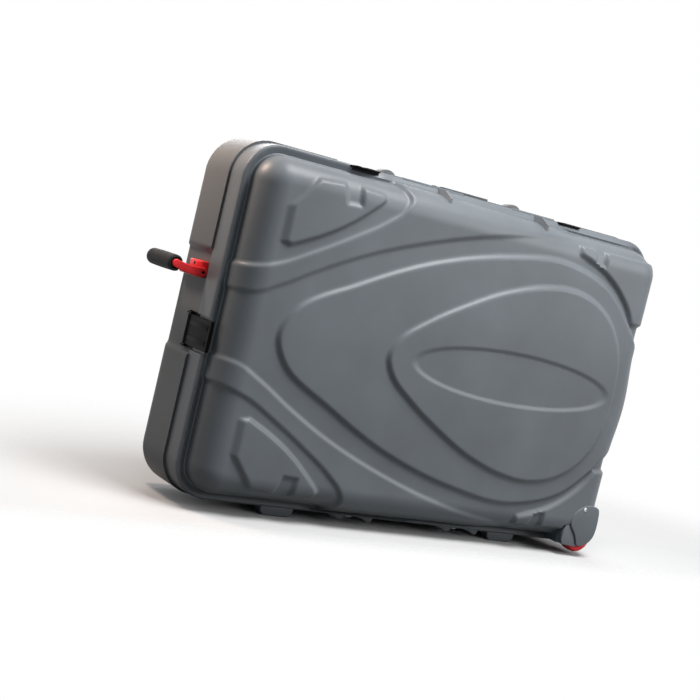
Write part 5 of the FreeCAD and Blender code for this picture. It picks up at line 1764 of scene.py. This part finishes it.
@dataclass
class Studio:
    """Camera and light as in the photograph, and a flat pale floor under the feet.

    The camera's place is in case millimetres and its focal length in the photograph's pixels. The floor's
    sizes are metres in the frame. It turns solid over floor_near, as shares of floor_reach on the way in to
    floor_middle, and it fades out in front of the case over floor_fade. Its tones are for bounced light and
    for rays that show it.
    """

    bench: Bench
    focal_px: float = 1374.44
    image_px: float = 700
    sensor_mm: float = 36
    view_end: float = 50
    azimuth: float = -32.21
    elevation: float = 4.17
    roll: float = 13.51
    position: tuple[float, float, float] = (-1755.7, -2504.2, 585.4)
    floor_half: float = 14.0
    floor_reach: float = 2.0
    floor_near: tuple[float, float] = (0.1, 0.6)
    floor_fade: tuple[float, float] = (-0.27, -0.145)
    floor_middle: tuple[float, float, float] = (0.35, -0.5, 0.0)
    floor_tones: tuple[str, str] = ("#505050", "#c4c4c4")
    ambient: float = 0.2
    ambient_tone: str = "#e9edf2"
    lamps: tuple[Lamp, ...] = (
        Lamp("overhead", (0.3, -0.95, 2.5), (0.1, 0.0, 0.5), 1.2, 88),
        Lamp("front_right", (2.3, -2.3, 1.6), (0.25, 0.0, 0.4), 1.6, 52),
        Lamp("rear", (0.7, 2.6, 1.5), (0.1, 0.0, 0.4), 1.8, 52),
        Lamp("front_left", (-1.2, -1.1, 2.2), (-0.45, 0.0, 0.65), 0.7, 4),
        Lamp("warm_left", (-0.82, 0.17, 1.02), (-0.56, 0.07, 0.7), 0.2, 5.2, "#ffe4d0"),
    )

    def camera(self) -> None:
        """The camera fitted to the photograph's edges: place, aim and roll."""
        data = bpy.data.cameras.new("photo_camera")
        data.sensor_width = self.sensor_mm
        data.lens = self.focal_px / self.image_px * self.sensor_mm
        data.clip_end = self.view_end
        made = linked("photo_camera", data)
        a, e, r = (math.radians(v) for v in (self.azimuth, self.elevation, self.roll))
        back = Vector((math.sin(a) * math.cos(e), -math.cos(a) * math.cos(e), math.sin(e)))
        right = (-back).cross(Vector((0, 0, 1))).normalized()
        up = right.cross(-back)
        turned_right = math.cos(r) * right + math.sin(r) * up
        turned_up = math.cos(r) * up - math.sin(r) * right
        aim = Matrix((turned_right, turned_up, back)).transposed().to_4x4()
        place = Vector(self.position) * MM + self.bench.shift
        made.matrix_world = Matrix.Translation(place) @ aim
        bpy.context.scene.camera = made

    @staticmethod
    def _seen(tree: bpy.types.NodeTree, path: bpy.types.Node) -> Feed:
        """A factor of 1 for rays of camera, reflections and transmission, and 0 for bounced light."""
        mirrored = joined(tree, "MAXIMUM", (path, "Is Glossy Ray"), (path, "Is Transmission Ray"))
        return joined(tree, "MAXIMUM", (path, "Is Camera Ray"), mirrored)

    def _floor_material(self) -> bpy.types.Material:
        """A pale matt floor near and behind the case, clear farther out and for lamp light.

        Returns:
            The new material.
        """
        made = bpy.data.materials.new("studio_floor")
        tree = empty_tree(made)
        place = add_node(tree, "ShaderNodeTexCoord")
        path = add_node(tree, "ShaderNodeLightPath")
        shift = tuple(-c / self.floor_reach for c in self.floor_middle)
        scale = (1 / self.floor_reach,) * 3
        shrunk = add_node(tree, "ShaderNodeMapping", {"Scale": scale, "Location": shift},
                          {"Vector": (place, "Object")})
        nearness = add_node(tree, "ShaderNodeTexGradient", {"gradient_type": "SPHERICAL"},
                            {"Vector": (shrunk, "Vector")})
        parts = add_node(tree, "ShaderNodeSeparateXYZ", None, {"Vector": (place, "Object")})
        near = stepped(tree, self.floor_near, (nearness, "Fac"))
        behind = stepped(tree, self.floor_fade, (parts, "Y"))
        solid = joined(tree, "MULTIPLY", near, behind)
        rest = add_node(tree, "ShaderNodeMath", {"operation": "SUBTRACT", 0: 1.0}, {1: solid})
        seen = self._seen(tree, path)
        clear_seen = joined(tree, "MULTIPLY", (rest, "Value"), seen)
        clear_share = joined(tree, "MAXIMUM", clear_seen, (path, "Is Shadow Ray"))
        bounced, shown = (linear(tone) for tone in self.floor_tones)
        tone = add_node(tree, "ShaderNodeMixRGB", {"Color1": bounced, "Color2": shown}, {"Fac": seen})
        pale = add_node(tree, "ShaderNodeBsdfDiffuse", None, {"Color": (tone, "Color")})
        clear = add_node(tree, "ShaderNodeBsdfTransparent")
        mix = add_node(tree, "ShaderNodeMixShader", None,
                       {0: clear_share, 1: (pale, "BSDF"), 2: (clear, "BSDF")})
        add_node(tree, "ShaderNodeOutputMaterial", None, {"Surface": (mix, "Shader")})
        return made

    def floor(self) -> None:
        """A wide floor that takes the shadow near the case and lets the white world through farther out.

        Lamp light passes it, and it is clear from a little in front of the case, so that the lid still shows
        when it swings down past the feet.
        """
        half = self.floor_half
        corners = [(-half, -half, 0), (half, -half, 0), (half, half, 0), (-half, half, 0)]
        mesh = bpy.data.meshes.new("floor")
        mesh.from_pydata(corners, [], [(0, 1, 2, 3)])
        mesh.materials.append(self._floor_material())
        linked("floor", mesh)

    def world(self) -> None:
        """Plain ambient light, with a white background for the camera and for reflections."""
        made = bpy.data.worlds.new("studio")
        bpy.context.scene.world = made
        tree = empty_tree(made)
        ambient = add_node(tree, "ShaderNodeBackground",
                           {"Color": linear(self.ambient_tone), "Strength": self.ambient})
        white = add_node(tree, "ShaderNodeBackground", {"Color": (1, 1, 1, 1), "Strength": 1.0})
        path = add_node(tree, "ShaderNodeLightPath")
        mix = add_node(tree, "ShaderNodeMixShader", None,
                       {0: self._seen(tree, path), 1: (ambient, "Background"), 2: (white, "Background")})
        add_node(tree, "ShaderNodeOutputWorld", None, {"Surface": (mix, "Shader")})

    def build(self) -> None:
        """Sets up the view, the floor and the light."""
        bpy.context.scene.view_settings.view_transform = "Standard"
        self.camera()
        self.floor()
        self.world()
        for lamp in self.lamps:
            lamp.hang()


def main() -> None:
    """Loads the frame and builds every sub-assembly; each piece's face count is logged as it is dressed."""
    logging.basicConfig(level=logging.INFO, format="%(name)s: %(message)s")
    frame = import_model()
    bench = Bench(frame)
    relief, openings = CaseRelief(), Openings()
    Studio(bench).build()
    LidShell(bench, relief, openings).build()
    BaseShell(bench, relief, openings).build()
    RimDetails(bench).build()
    TowHandle(bench).build()
    for side in Side:
        Wheel(bench, side).build()
    Lining(bench).build()
    Hardware(bench).build()


if __name__ == "__main__":
    main()
